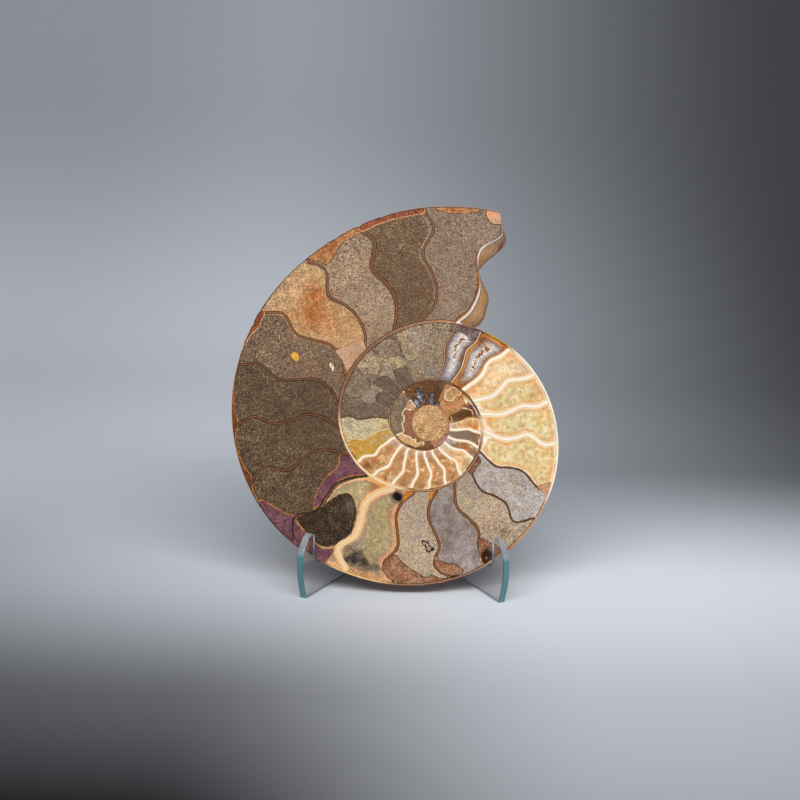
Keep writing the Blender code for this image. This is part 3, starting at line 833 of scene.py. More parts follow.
def shell_place(parts):
    """Puts points of the shell's own frame into the object's: rolled, leant back and turned, and
    moved so that the middle of these parts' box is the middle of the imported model's."""
    matrix = turned(TURN, 2) @ turned(-LEAN, 0) @ turned(-ROLL, 1)
    placed = np.concatenate([part.points for part in parts]) @ matrix.T * MM
    middle = (placed.min(0) + placed.max(0)) / 2
    offset = (np.array(SHELL_LOW) + np.array(SHELL_HIGH)) / 2 - middle
    return lambda points: points @ matrix.T * MM + offset


# Stone colours, as red, green and blue from 0 to 255.
PALETTE = {
    "mauve": (141, 116, 99), "mauve_dark": (125, 101, 81), "olive": (111, 83, 60),
    "olive_dark": (98, 71, 47), "tan_grey": (162, 134, 109), "tan_grey_dark": (141, 113, 86),
    "sand": (178, 136, 93), "sand_light": (200, 160, 115), "dun": (125, 99, 77),
    "dun_dark": (110, 85, 64), "umber": (97, 76, 56), "umber_dark": (82, 61, 41),
    "black": (63, 48, 31), "black_dark": (47, 32, 13), "green": (187, 172, 124),
    "green_dark": (144, 129, 91), "pearl": (169, 149, 133), "pearl_warm": (179, 156, 124),
    "lavender": (164, 149, 144), "lavender_dark": (124, 105, 94), "ash": (186, 177, 172),
    "ash_warm": (160, 141, 124), "honey": (246, 228, 186), "honey_green": (203, 181, 110),
    "butter": (191, 170, 132), "butter_white": (209, 193, 155), "gold": (206, 160, 62),
    "gold_dark": (185, 137, 44), "agate": (131, 116, 118), "agate_white": (188, 176, 173),
    "moss": (147, 126, 104), "slate": (112, 90, 72), "slate_light": (136, 113, 91),
    "amber": (196, 152, 107), "amber_dark": (166, 118, 68), "peach": (230, 190, 138),
    "orange": (211, 124, 19), "tan": (208, 152, 98), "white": (250, 241, 226),
    "cream": (234, 209, 170), "bark": (106, 72, 35), "bark_dark": (75, 41, 13),
    "brick": (187, 127, 82), "brick_dark": (169, 101, 52), "maroon": (152, 100, 78),
    "maroon_dark": (133, 83, 47), "biscuit": (189, 143, 91), "biscuit_light": (209, 166, 111),
    "silt": (121, 99, 77), "silt_light": (142, 118, 95), "line_brown": (44, 29, 19),
    "line_amber": (150, 90, 42), "line_orange": (187, 112, 38), "plum": (119, 74, 84),
    "plum_dark": (97, 55, 65), "rust": (146, 74, 38), "rust_dark": (112, 47, 13),
    "ochre": (181, 120, 68), "ochre_dark": (152, 92, 41), "clay": (156, 110, 82),
    "clay_dark": (133, 85, 58), "flesh": (197, 156, 123), "flesh_dark": (187, 141, 109),
    # hole: near-black, partly the cavity's own dark fill and partly painted shade inside the sunk
    # cavity.
    "druse": (80, 76, 84), "druse_light": (129, 129, 147), "hole": (46, 24, 16),
    "rim": (112, 69, 44), "rim_dark": (91, 52, 28), "nacre": (193, 141, 98), "dusk": (106, 72, 60),
    "glow": (238, 193, 134), "terracotta": (195, 137, 89), "terracotta_dark": (177, 116, 68),
    "resin": (206, 138, 48), "resin_dark": (112, 66, 30), "tan_deep": (204, 154, 108),
    "slab": (142, 121, 102), "slab_dark": (122, 99, 79), "speckle": (171, 149, 116),
    "speckle_dark": (138, 117, 91), "ghost": (156, 137, 119), "ghost_dark": (142, 121, 102),
    "gloom": (110, 91, 74), "gloom_dark": (94, 76, 60), "smoke": (119, 97, 95),
    "smoke_dark": (93, 69, 63), "disc": (188, 142, 93), "disc_light": (208, 165, 115),
    # lip: white, partly the septum's pale shell and partly a painted highlight along the broken
    # wall's edge.
    "blush": (222, 154, 114), "lip": (244, 239, 232), "fringe": (224, 174, 116),
    "chip": (240, 170, 50), "soot": (68, 57, 53), "soot_light": (112, 99, 84),
    "speck": (220, 199, 155), "warm": (255, 190, 112), "cool": (142, 141, 157),
}


def plain(one, two, grainy, band=None):
    """The fill of a chamber without bands: along its walls one colour is left, the first unless
    another is given."""
    return one, two, band or one, 0.0, band or one, 0.0, grainy, 0.3, 0.0, 0.0


# Fill of each chamber from the mouth inwards: two colours that mingle; the colour and breadth in
# millimetres of a first and a second band along its walls; how grainy it is; how soft the bands'
# edges are; how much its colours run along the walls and are mottled with the bands'; and how
# many millimetres deep in it a heart of quartz begins (0: none).
CHAMBERS = (
    plain("mauve", "mauve_dark", 1.0),
    plain("olive", "olive_dark", 0.95),
    plain("tan_grey", "tan_grey_dark", 1.2),
    plain("sand", "sand_light", 0.9),
    plain("dun", "dun_dark", 1.2),
    *(plain("umber", "umber_dark", 1.0),) * 2,
    plain("umber", "umber_dark", 1.1),
    ("green", "green_dark", "fringe", 1.9, "tan_grey", 3.0, 0.5, 0.6, 0.3, 0.0),
    ("green", "green_dark", "tan_deep", 2.4, "tan_grey", 3.7, 0.5, 0.7, 0.45, 0.0),
    plain("pearl", "pearl_warm", 0.75),
    plain("lavender", "lavender_dark", 0.5),
    plain("pearl", "pearl_warm", 0.85),
    plain("ash", "ash_warm", 0.75),
    ("honey", "honey_green", "cream", 1.2, "fringe", 2.3, 0.2, 0.9, 0.6, 0.0),
    *(("honey", "honey_green", "cream", 1.2, "fringe", 2.5, 0.18, 1.0, 0.6, 0.0),) * 2,
    ("honey", "peach", "cream", 1.2, "fringe", 2.3, 0.2, 1.0, 0.55, 0.0),
    ("agate", "smoke", "resin_dark", 0.35, "resin", 1.5, 0.3, 0.3, 0.2, 3.4),
    ("agate", "smoke", "bark", 0.4, "smoke", 1.0, 0.3, 0.3, 0.2, 3.2),
    plain("moss", "slate_light", 1.1),
    plain("moss", "slate_light", 1.2),
    *(plain("slate_light", "slate", 1.0, band="slate"),) * 3,
    plain("slate", "gloom", 0.9),
    ("butter", "butter_white", "gold", 0.3, "butter", 0.6, 0.7, 0.4, 0.5, 0.0),
    ("gold", "gold_dark", "butter", 0.4, "gold", 0.9, 0.5, 0.5, 0.5, 0.0),
    ("amber", "amber_dark", "peach", 0.6, "tan", 1.3, 0.35, 0.5, 0.7, 0.0),
    *(("amber", "amber_dark", "peach", 0.6, "tan", 1.2, 0.35, 0.5, 0.7, 0.0),) * 5,
    ("peach", "amber", "cream", 0.9, "peach", 1.7, 0.3, 0.5, 0.6, 0.0),
    ("amber", "slate_light", "cream", 0.4, "amber", 0.8, 0.4, 0.4, 0.6, 0.0),
    ("slate_light", "dun", "slate_light", 0.0, "gold", 0.2, 0.3, 0.1, 0.0, 0.0),
    ("amber", "tan", "cream", 0.4, "peach", 0.9, 0.3, 0.5, 0.6, 0.0),
    ("bark", "bark_dark", "gold", 0.2, "bark", 0.0, 0.3, 0.1, 0.0, 0.0),
    plain("brick", "brick_dark", 0.4),
    plain("bark", "bark_dark", 0.5),
    *(plain("maroon", "maroon_dark", 0.6),) * 2,
    plain("brick_dark", "bark", 0.5, band="brick"),
    plain("maroon", "brick", 0.6),
    plain("disc", "disc_light", 1.75),
)

# Line of each chamber wall from the mouth inwards: the colour of its middle and of its edges,
# and how far each reaches from the line's middle in millimetres.
BREAK_LINE = ("line_orange", "line_brown", 0.5, 0.85)
DARK_LINE = ("line_amber", "line_brown", 0.28, 0.64)
FINE_LINE = ("line_amber", "line_brown", 0.08, 0.46)
DEEP_LINE = ("line_amber", "line_brown", 0.18, 0.66)
WHITE_LINE = ("white", "cream", 0.38, 1.3)
THIN_WHITE_LINE = ("white", "cream", 0.28, 0.62)
FAINT_LINE = ("moss", "slate", 0.08, 0.2)
NO_LINE = ("plum", "plum", 0.0, 0.0)
WALL_LINES = (
    BREAK_LINE, *(DARK_LINE,) * 4, *(DEEP_LINE,) * 3,
    ("line_brown", "line_brown", 0.1, 0.34), ("cream", "peach", 0.3, 1.4),
    *(DARK_LINE,) * 3, *(FINE_LINE,) * 2, *(WHITE_LINE,) * 3,
    ("white", "cream", 0.5, 0.9), ("cream", "resin_dark", 0.22, 0.6),
    ("nacre", "line_brown", 0.25, 0.5), *(FAINT_LINE,) * 5,
    ("line_amber", "line_brown", 0.12, 0.3), ("cream", "butter", 0.12, 0.25),
    *(THIN_WHITE_LINE,) * 10, ("gold", "line_brown", 0.12, 0.28), *(NO_LINE,) * 8,
)

# Colour of the shell's own wall along the coil, its edges' colour, and its half thickness in
# millimetres: the angle of each on the wall.
SHELL_WALL = (
    (70, "flesh", "line_brown", 0.3), (88, "line_orange", "line_brown", 0.35),
    (92, "rust", "line_brown", 0.3), (108, "rust", "line_brown", 0.3),
    (114, "ochre", "line_brown", 0.3), (134, "sand", "line_brown", 0.3),
    (146, "rust_dark", "line_brown", 0.4), (158, "line_orange", "line_brown", 0.45),
    (198, "ochre_dark", "line_brown", 0.5), (205, "plum_dark", "line_brown", 0.3),
    (230, "plum_dark", "line_brown", 0.3), (236, "glow", "line_orange", 0.8),
    (250, "glow", "line_orange", 0.7), (257, "clay", "line_brown", 0.7),
    (286, "clay", "line_brown", 0.8), (294, "nacre", "line_brown", 1.0),
    (300, "line_orange", "line_brown", 1.0), (308, "nacre", "line_brown", 1.0),
    (323, "nacre", "line_brown", 1.0), (332, "white", "peach", 0.75),
    (397, "white", "peach", 0.75), (404, "gold_dark", "line_brown", 0.8),
    (414, "gold_dark", "line_brown", 0.8), (421, "dusk", "line_brown", 0.6),
    (438, "nacre", "line_brown", 0.55), (462, "clay", "line_brown", 0.7),
    (505, "clay_dark", "line_brown", 0.75), (530, "clay", "line_brown", 0.6),
    (542, "cream", "line_amber", 0.5), (562, "cream", "line_amber", 0.5),
    (572, "cream", "peach", 0.5), (602, "cream", "peach", 0.45),
    (614, "nacre", "line_brown", 0.4), (662, "nacre", "line_brown", 0.4),
    (695, "clay", "line_brown", 0.4), (712, "cream", "line_orange", 0.4),
    (722, "cream", "line_orange", 0.4), (732, "dusk", "line_brown", 0.3),
    (750, "line_amber", "line_brown", 0.35), (780, "line_amber", "line_brown", 0.35),
    (790, "clay", "line_brown", 0.3), (915, "nacre", "line_brown", 0.3),
    (960, "line_amber", "line_brown", 0.3), (990, "clay", "line_brown", 0.2),
    (1020, "maroon", "maroon", 0.05), (1400, "maroon", "brick", 0.02),
)

# Each kind of patch: two colours that mingle, its edge line's colour and half breadth, how soft
# its edge is, how grainy it is, and whether it covers chamber walls. They are laid in this order,
# first those that don't cover the walls.
PATCH_LOOKS = {
    "silt": ("silt", "silt_light", "cream", 0.2, 0.1, 0.6, False),
    "biscuit": ("biscuit", "biscuit_light", "cream", 0.22, 0.1, 0.5, False),
    "speckled": ("speckle", "speckle_dark", "line_brown", 0.04, 0.3, 1.0, False),
    "slab": ("slab", "slab_dark", "line_brown", 0.1, 0.12, 0.8, False),
    "ghost": ("ghost", "ghost_dark", "cream", 0.0, 0.6, 0.8, False),
    "gloom": ("gloom", "gloom_dark", "line_brown", 0.06, 0.2, 0.6, False),
    "soot": ("soot", "soot_light", "soot", 0.0, 1.2, 0.4, False),
    "purple": ("plum", "plum_dark", "line_orange", 0.14, 0.1, 0.6, False),
    "dark": ("black", "black_dark", "line_amber", 0.1, 0.12, 0.9, False),
    "smoke": ("smoke", "smoke_dark", "line_brown", 0.05, 0.5, 0.8, False),
    "terracotta": ("terracotta", "terracotta_dark", "line_brown", 0.05, 0.2, 0.6, True),
    "resin": ("resin_dark", "bark", "line_brown", 0.05, 0.4, 0.8, True),
    "tan": ("flesh_dark", "flesh", "cream", 0.05, 0.3, 0.8, True),
    "ochre": ("ochre", "ochre_dark", "line_brown", 0.12, 0.15, 0.8, True),
    "clay": ("clay", "clay_dark", "line_brown", 0.12, 0.15, 0.7, True),
    "rust": ("rust", "rust_dark", "tan", 0.16, 0.12, 0.6, True),
    "flesh": ("flesh", "flesh_dark", "line_amber", 0.1, 0.1, 0.5, True),
    "blush": ("blush", "flesh", "line_brown", 0.14, 0.1, 0.5, True),
    "frost": ("white", "cream", "cream", 0.1, 0.7, 0.2, False),
    "cream": ("cream", "gold", "line_amber", 0.08, 0.1, 0.2, True),
    "vug": ("pearl", "clay", "line_brown", 0.22, 0.1, 0.6, True),
    "chip": ("chip", "gold", "line_amber", 0.0, 0.1, 0.2, True),
    "orange": ("orange", "line_orange", "line_amber", 0.1, 0.15, 0.3, True),
    "honey": ("biscuit_light", "cream", "honey", 0.1, 0.25, 0.5, True),
    "rim": ("rim", "rim_dark", "line_orange", 0.14, 0.12, 0.6, False),
    # hole: its near-black colour is partly the cavity's own dark fill and partly painted shade
    # inside it.
    "hole": ("hole", "bark_dark", "line_brown", 0.2, 0.25, 0.8, True),
    "druse": ("druse", "druse_light", "line_brown", 0.15, 0.3, 1.2, True),
}


def colour(name):
    """A palette colour as the linear values that shaders work with."""
    share = np.array(PALETTE[name]) / 255.0
    linear = np.where(share <= 0.04045, share / 12.92, ((share + 0.055) / 1.055) ** 2.4)
    return (*(float(value) for value in linear), 1.0)


class Value:
    """A socket in a shader, so that arithmetic on it adds Math nodes."""

    def __init__(self, shader, socket):
        self.shader, self.socket = shader, socket

    def __add__(self, other):
        return self.shader.math("ADD", self, other)

    def __sub__(self, other):
        return self.shader.math("SUBTRACT", self, other)

    def __rsub__(self, other):
        return self.shader.math("SUBTRACT", other, self)

    def __mul__(self, other):
        return self.shader.math("MULTIPLY", self, other)

    def __truediv__(self, other):
        return self.shader.math("DIVIDE", self, other)

    def __rtruediv__(self, other):
        return self.shader.math("DIVIDE", other, self)

    def __abs__(self):
        return self.shader.math("ABSOLUTE", self)

    __radd__ = __add__
    __rmul__ = __mul__

    def least(self, other):
        return self.shader.math("MINIMUM", self, other)

    def most(self, other):
        return self.shader.math("MAXIMUM", self, other)

    def step(self, low, high):
        """0 at low, 1 at high and smooth between."""
        return self.shader.node(
            "MapRange", {"interpolation_type": "SMOOTHSTEP"},
            {"Value": self, "From Min": low, "From Max": high},
        )


class Shader:
    """One material's nodes."""

    def __init__(self, name):
        self.material = bpy.data.materials.new(name)
        self.material.use_nodes = True
        self.tree = self.material.node_tree
        self.surface = self.tree.nodes["Principled BSDF"]
        spots = self.node("TexCoord", output="Object")
        self.spot = self.scaled(spots, 1.0 / MM)

    def node(self, kind, settings=None, inputs=None, output=0):
        """Adds a node of a kind: its settings first, then each input's value or link."""
        node = self.tree.nodes.new("ShaderNode" + kind)
        for key, value in (settings or {}).items():
            if key == "stops":
                self.set_stops(node.color_ramp.elements, value)
            elif key == "ramp":
                node.color_ramp.interpolation = value
            else:
                setattr(node, key, value)
        self.feed(node, inputs or {})
        return Value(self, node.outputs[output])

    def math(self, operation, *values):
        return self.node("Math", {"operation": operation}, dict(enumerate(values)))

    def feed(self, node, inputs):
        """Sets each input to a number or a colour, or links it to a value."""
        for key, value in inputs.items():
            if isinstance(value, Value):
                self.tree.links.new(value.socket, node.inputs[key])
            else:
                node.inputs[key].default_value = value

    def set_stops(self, elements, stops):
        """Moves the stops that a new ramp starts with, and adds the rest."""
        for element, (position, value) in zip(elements, stops):
            element.position, element.color = position, value
        for position, value in stops[len(elements):]:
            elements.new(position).color = value

    def finished(self, inputs):
        """Feeds the surface shader and hands the material over."""
        self.feed(self.surface, inputs)
        return self.material

    def wired(self, outputs):
        """Links the material's output by hand and hands the material over."""
        self.feed(self.tree.nodes["Material Output"], outputs)
        return self.material

    def split(self, kind, value):
        """The three parts of a vector or a colour."""
        parts = self.node(kind, None, {0: value}).socket.node.outputs
        return [Value(self, output) for output in parts]

    def axes(self):
        """The three coordinates in millimetres."""
        return self.split("SeparateXYZ", self.spot)

    def bump(self, height, depth):
        """A normal that follows a height, as deep as the given millimetres."""
        return self.node("Bump", None, {"Height": height, "Distance": depth * MM, "Strength": 1.0})

    def attribute(self, name):
        return self.node("Attribute", {"attribute_name": name}, output="Fac")

    def grains(self, size):
        """Three random values from 0 to 1 for each grain, packed at about this many millimetres."""
        cells = self.node("TexVoronoi", None, {"Vector": self.spot, "Scale": 1.0 / size}, "Color")
        return self.split("SeparateColor", cells)

    def streak(self, over, along):
        """Noise drawn out in layers, from one measure over them and a slower one along them."""
        vector = self.node("CombineXYZ", None, {0: over, 1: along})
        return self.node("TexNoise", None, {"Vector": vector, "Scale": 1.0, "Detail": 3.0})

    def noise(self, size, detail=2.0, moved=0.0, distortion=0.0):
        """Smooth noise, 0 to 1, with forms about as many millimetres across as its size, read at
        a place moved by some millimetres on each axis."""
        spot = self.node("VectorMath", {"operation": "ADD"}, {0: self.spot, 1: (moved,) * 3})
        return self.node(
            "TexNoise", None,
            {"Vector": spot, "Scale": 1.0 / size, "Detail": detail, "Distortion": distortion},
            "Fac",
        )

    def mix(self, one, two, share, blend="MIX"):
        """Colours, or palette names, mixed: all of the first where the share is 0, all of the
        second where it is 1."""
        one, two = (colour(tint) if isinstance(tint, str) else tint for tint in (one, two))
        return self.node(
            "Mix", {"data_type": "RGBA", "blend_type": blend}, {0: share, 6: one, 7: two}, 2
        )

    def scaled(self, value, factor):
        """A vector made longer or shorter, or a colour lighter or darker, by a factor."""
        return self.node("VectorMath", {"operation": "SCALE"}, {0: value, "Scale": factor})

    def brightness(self, tint):
        return self.node("RGBToBW", None, {"Color": tint})

    def table(self, place, colours):
        """The colour of each whole number along a place, in two ramps of flat steps, read a
        hair further on so that a whole number never falls short."""
        half = (len(colours) + 1) // 2
        ramps = []
        for start in (0, half):
            part = colours[start:start + half]
            stops = [(k / half, value) for k, value in enumerate(part)]
            ramps.append(
                self.node(
                    "ValToRGB", {"ramp": "CONSTANT", "stops": stops},
                    {"Fac": (place - start + HAIR) / half},
                )
            )
        return self.mix(*ramps, self.math("GREATER_THAN", place, half - HAIR))

    def blend(self, at, stops):
        """Colours blended along a measure, in two ramps that share their middle stop."""
        half = len(stops) // 2
        ramps = []
        for part in (stops[:half + 1], stops[half:]):
            low, high = part[0][0], part[-1][0]
            scaled = [((place - low) / (high - low), value) for place, value in part]
            ramps.append(
                self.node("ValToRGB", {"stops": scaled}, {"Fac": (at - low) / (high - low)})
            )
        return self.mix(*ramps, self.math("GREATER_THAN", at, stops[half][0]))

    def numbers(self, place, rows):
        """Three numbers for each whole number along a place, carried as shares of the most."""
        colours = [(*(value / MOST for value in row), 1.0) for row in rows]
        parts = self.split("SeparateColor", self.table(place, colours))
        return [part * MOST for part in parts]


def section_material():
    """The polished face: each chamber's fill, its bands and its heart of quartz, the lines of the
    walls, the patches and the grain. Every length in it is in millimetres."""
    shader = Shader("polished_section")
    chamber, share = shader.attribute("chamber"), shader.attribute("share")
    whorl, width = shader.attribute("whorl_mm"), shader.attribute("chamber_mm")
    turn = shader.attribute("turn")
    cloud = shader.noise(3.2, detail=3.0, moved=80.0)
    broad = shader.noise(9.0, moved=120.0)
    mottle = shader.noise(2.0, detail=4.0, moved=240.0, distortion=0.3)
    ragged = (shader.noise(1.8, detail=4.0, moved=160.0) - 0.5) * 2.0
    ragged_fine = (shader.noise(0.8, moved=200.0) - 0.5) * 2.0

    # How far a point is from its chamber's walls and from the shell's own wall.
    part = shader.math("FRACT", chamber)
    to_septum = part.least(1.0 - part) * width
    across_whorl = share * whorl
    to_wall = abs(across_whorl.least((1.0 - share) * whorl))
    wall_at = (turn + shader.math("LESS_THAN", share, 0.5)) * WHORL
    wall_core, wall_edge = (
        shader.blend(wall_at, [(row[0], colour(row[column])) for row in SHELL_WALL])
        for column in (1, 2)
    )
    halves = [(angle, (half / MOST,) * 3 + (1.0,)) for angle, _, _, half in SHELL_WALL]
    wall_half = shader.blend(wall_at, halves) * MOST
    in_cell = shader.math("SMOOTH_MIN", to_septum, to_wall - wall_half, CORNER_MM)

    # The chamber's fill, its heart of quartz, and the bands along its walls.
    base, second, first_band, second_band = (
        shader.table(chamber, [colour(row[column]) for row in CHAMBERS]) for column in (0, 1, 2, 4)
    )
    first_mm, second_mm, grainy = shader.numbers(
        chamber, [(row[3], row[5], row[6]) for row in CHAMBERS]
    )
    soft, runs, heart_mm = shader.numbers(chamber, [row[7:] for row in CHAMBERS])
    streak = shader.streak(chamber * STREAKS, across_whorl * 0.22)
    mingled = cloud + (streak - cloud) * runs
    fill = shader.mix(base, second, mingled.step(0.3, 0.74 - runs * 0.15))
    quartz = shader.math("GREATER_THAN", heart_mm, 0.1)
    comb = (shader.streak(chamber * 1.5 + 9.0, across_whorl * 1.5) - 0.5) * 2.0
    edge = in_cell + ragged * 0.9 + comb * 1.6 - heart_mm
    fill = shader.mix(fill, "agate_white", quartz * edge.step(-1.9, -0.3))
    teeth = in_cell + comb * 2.4 + ragged_fine * 2.0 - heart_mm
    fill = shader.mix(fill, "white", quartz * teeth.step(0.15, 0.7))
    fill = shader.mix(fill, "maroon_dark", quartz * teeth.step(0.9, 1.3))
    mottled = (runs * 1.1).least(1.0)
    fill = shader.mix(fill, second_band, mottle.step(0.5, 0.34) * mottled)
    fill = shader.mix(fill, first_band, mottle.step(0.5, 0.7) * mottled)
    jag = in_cell + ragged * (soft + 0.25) + ragged_fine * 0.3 + comb * quartz * 0.8
    fill = shader.mix(fill, second_band, (jag - second_mm).step(soft, -0.05 - soft))
    fill = shader.mix(fill, first_band, (jag - first_mm).step(soft * 0.5, soft * -0.5 - 0.05))

    # Patches under the lines of the chamber walls, soft spots, the lines, patches over them, and
    # last the shell's own wall. Grain is weaker on the lines.
    fill, grainy = lay_patches(shader, fill, grainy, cloud, ragged, False)
    warmth = shader.attribute("warmth")
    fill = shader.mix(fill, "warm", warmth.most(0.0), "MULTIPLY")
    fill = shader.mix(fill, "cool", warmth.least(0.0) * -0.9)
    depth_of_tone = (mingled - 0.5) * (runs * 0.9 + 0.3) + (mottle - 0.5) * runs * 1.5
    fill = shader.scaled(fill, 1.0 + shader.attribute("tone") + depth_of_tone)
    line_core, line_edge = (
        shader.table(chamber + 0.5, [colour(row[column]) for row in WALL_LINES])
        for column in (0, 1)
    )
    core_mm, edge_mm, _ = shader.numbers(
        chamber + 0.5, [(row[2], row[3], 0.0) for row in WALL_LINES]
    )
    waver = (cloud - 0.5) * 0.9 + 1.0
    to_line = to_septum + ragged * 0.1
    line = (to_line - edge_mm * waver).step(0.12, -0.12)
    fill = shader.mix(fill, line_edge, line)
    grainy = grainy * (1.0 - line * 0.8) * (share * 0.5 + 0.65)
    fill = shader.mix(fill, line_core, (to_line - core_mm * waver).step(0.1, -0.12))
    fill, grainy = lay_patches(shader, fill, grainy, cloud, ragged, True)
    wall_gap = to_wall + ragged * 0.25 - wall_half * (cloud * 0.9 + 0.55)
    wall = wall_gap.step(0.3, 0.0)
    fill = shader.mix(fill, wall_edge, wall)
    grainy = grainy * (1.0 - wall * 0.6)
    fill = shader.mix(fill, wall_core, wall_gap.step(-0.05, -0.25))

    # The grain: each grain lighter or darker than the next, a few of them pale or dark.
    fine, _, _ = shader.grains(GRAIN_MM)
    _, pale, dark = shader.grains(FLECK_MM)
    blotch = shader.noise(1.5, detail=3.0, moved=280.0)
    light = (fine - 0.5) * 1.2 + (blotch - 0.5) * 0.3 + (broad - 0.5) * 0.5
    fill = shader.scaled(fill, 1.0 + grainy * light)
    few = grainy * (0.15 + broad.step(0.35, 0.65) * 0.4)
    few = few * (shader.brightness(fill) * 4.0 + 0.25).least(1.0)
    fill = shader.mix(fill, "speck", few * pale.step(0.8, 0.95))
    fill = shader.mix(fill, "line_brown", few * dark.step(0.8, 0.97) * 0.6)
    return shader.finished({
        "Base Color": fill, "Roughness": 0.22 + fine * 0.08,
        "Normal": shader.bump(cloud, 0.05),
        "Specular IOR Level": 0.3, "Coat Weight": 0.15, "Coat Roughness": 0.1,
    })


def lay_patches(shader, fill, grainy, cloud, ragged, over_walls):
    """Lays the kinds of patch that go over, or under, the lines of the chamber walls, each with
    its edge line and its own grain."""
    for kind, (one, two, line, line_mm, soft, grain, over) in PATCH_LOOKS.items():
        if over != over_walls:
            continue
        depth = shader.attribute(kind) + ragged * (soft + 0.15)
        inside = depth.step(-soft, soft)
        patch = shader.mix(one, two, cloud.step(0.42, 0.6))
        fill = shader.mix(fill, patch, inside)
        fill = shader.mix(fill, line, abs(depth).step(line_mm + 0.12, line_mm - 0.06))
        grainy = grainy + (grain - grainy) * inside
    return fill, grainy


def back_material():
    """The natural outside of the shell: worn brown mineral with growth lines that follow the ribs,
    rust stains and paler rubbed places. The ribs also carry painted shade: the colour is lighter on
    their crests and darker in their grooves."""
    shader = Shader("weathered_shell")
    grain = shader.noise(0.8, detail=3.0)
    cloud = shader.noise(6.0, detail=4.0, moved=20.0, distortion=0.6)
    broad = shader.noise(22.0, detail=3.0, moved=60.0)
    turn, share = shader.attribute("turn"), shader.attribute("share")
    bend = shader.math("SINE", share * math.tau) * (RIB_BEND / WHORL)
    growth = shader.streak((turn + bend) * (RIBS * 3.0), share * 2.0 + cloud * 0.6)
    fill = shader.mix("amber", "clay", cloud.step(0.36, 0.66))
    fill = shader.mix(fill, "bark", (growth * 0.7 + cloud * 0.3).step(0.52, 0.7) * 0.6)
    fill = shader.mix(fill, "rust", broad.step(0.46, 0.7) * 0.5)
    fill = shader.mix(fill, "tan_grey", (cloud * 0.5 + grain * 0.5).step(0.53, 0.68) * 0.6)
    # Painted shade of the ribs: this wave round the coil makes the colour lighter on the crests and
    # darker in the grooves.
    wave = shader.math("COSINE", (turn + bend) * (math.tau * RIBS))
    fill = shader.scaled(fill, 1.1 + wave * 0.15 + (growth - 0.5) * 1.3 + (grain - 0.5) * 0.7)
    return shader.finished({
        "Base Color": fill, "Roughness": 0.5 + (cloud - 0.5) * 0.3,
        "Normal": shader.bump(grain * 0.5 + growth + cloud * 0.7 + wave * 0.8, 0.3),
        "Specular IOR Level": 0.4,
    })


def mouth_material():
    """The broken chamber wall: a white lip along the polished face, partly the septum's pale shell
    and partly a painted highlight on that edge, a dark line, then layers of tan mineral that turn
    orange further in and grey near the rim, with one streak of rust. The whole wall's colour is
    also lifted a little, as painted light."""
    shader = Shader("broken_wall")
    grain = shader.noise(0.9, detail=3.0)
    cloud = shader.noise(5.0, detail=3.0, moved=30.0)
    depth, share = shader.attribute("depth_mm"), shader.attribute("share")
    layers = shader.streak(depth * 1.6, share * 2.2)
    fill = shader.mix("biscuit", "tan_deep", (cloud * 0.5 + layers * 0.5).step(0.4, 0.6))
    far = (depth + (cloud - 0.5) * 3.0).step(5.0, 8.0)
    fill = shader.mix(fill, "line_orange", far * 0.6)
    upper = (share + (cloud - 0.5) * 0.3).step(0.66, 0.76)
    fill = shader.mix(fill, "tan_grey", upper * 0.8)
    streak = abs(share - 0.8 + (cloud - 0.5) * 0.1 + depth * 0.012).step(0.045, 0.02)
    fill = shader.mix(fill, "rust", streak * depth.step(3.0, 5.0))
    lip = depth + (cloud - 0.5) * 0.5
    fill = shader.mix(fill, "clay_dark", lip.step(1.4, 1.0) * 0.8)
    # The white lip: partly the septum's pale shell, partly a painted highlight along the polished
    # face's edge.
    fill = shader.mix(fill, "lip", lip.step(0.95, 0.7))
    rough = (grain - 0.5) * 1.2 + (layers - 0.5) * 0.8
    # Painted light: the wall's colour is lifted by 6% throughout, because this side faces right,
    # away from the lamps, and would render dim; further from the edge the grain lightens and
    # darkens it on top.
    fill = shader.scaled(fill, 1.06 + rough * lip.step(0.8, 1.6))
    return shader.finished({
        "Base Color": fill, "Roughness": 0.35 + (grain - 0.5) * 0.2,
        "Normal": shader.bump(grain + cloud + layers, 0.25),
        "Specular IOR Level": 0.4, "Coat Weight": 0.3, "Coat Roughness": 0.15,
    })


def acrylic_material(settings):
    """Clear sheet. On its edges the light that runs inside it is painted: low down a painted glow
    in the sheet's own tint, and higher up they stay mostly clear, with a painted pale sheen."""
    shader = Shader("acrylic")
    _, _, up = shader.axes()
    tint = (*settings.edge_colour, 1.0)
    shader.feed(shader.surface, CLEAR_ACRYLIC)
    clear = Value(shader, shader.surface.outputs[0])
    low = up.step(EDGE_CLEAR_FROM, EDGE_PAINTED_GLOW_TO)
    # Painted light on the edges: a teal glow low down and a pale sheen higher up, painted in place
    # of the light that runs inside the sheet.
    glow = shader.node("BsdfPrincipled", None, {
        "Base Color": shader.mix((*EDGE_PAINTED_SHEEN, 1.0), tint, low),
        "Roughness": 0.15, "Specular IOR Level": 0.6,
    })
    share = shader.attribute("edge") * (low * 0.55 + 0.35)
    mixed = shader.node("MixShader", None, {0: share, 1: clear, 2: glow})
    inside = shader.node(
        "VolumeAbsorption", None, {"Color": tint, "Density": settings.absorption}
    )
    return shader.wired({"Surface": mixed, "Volume": inside})


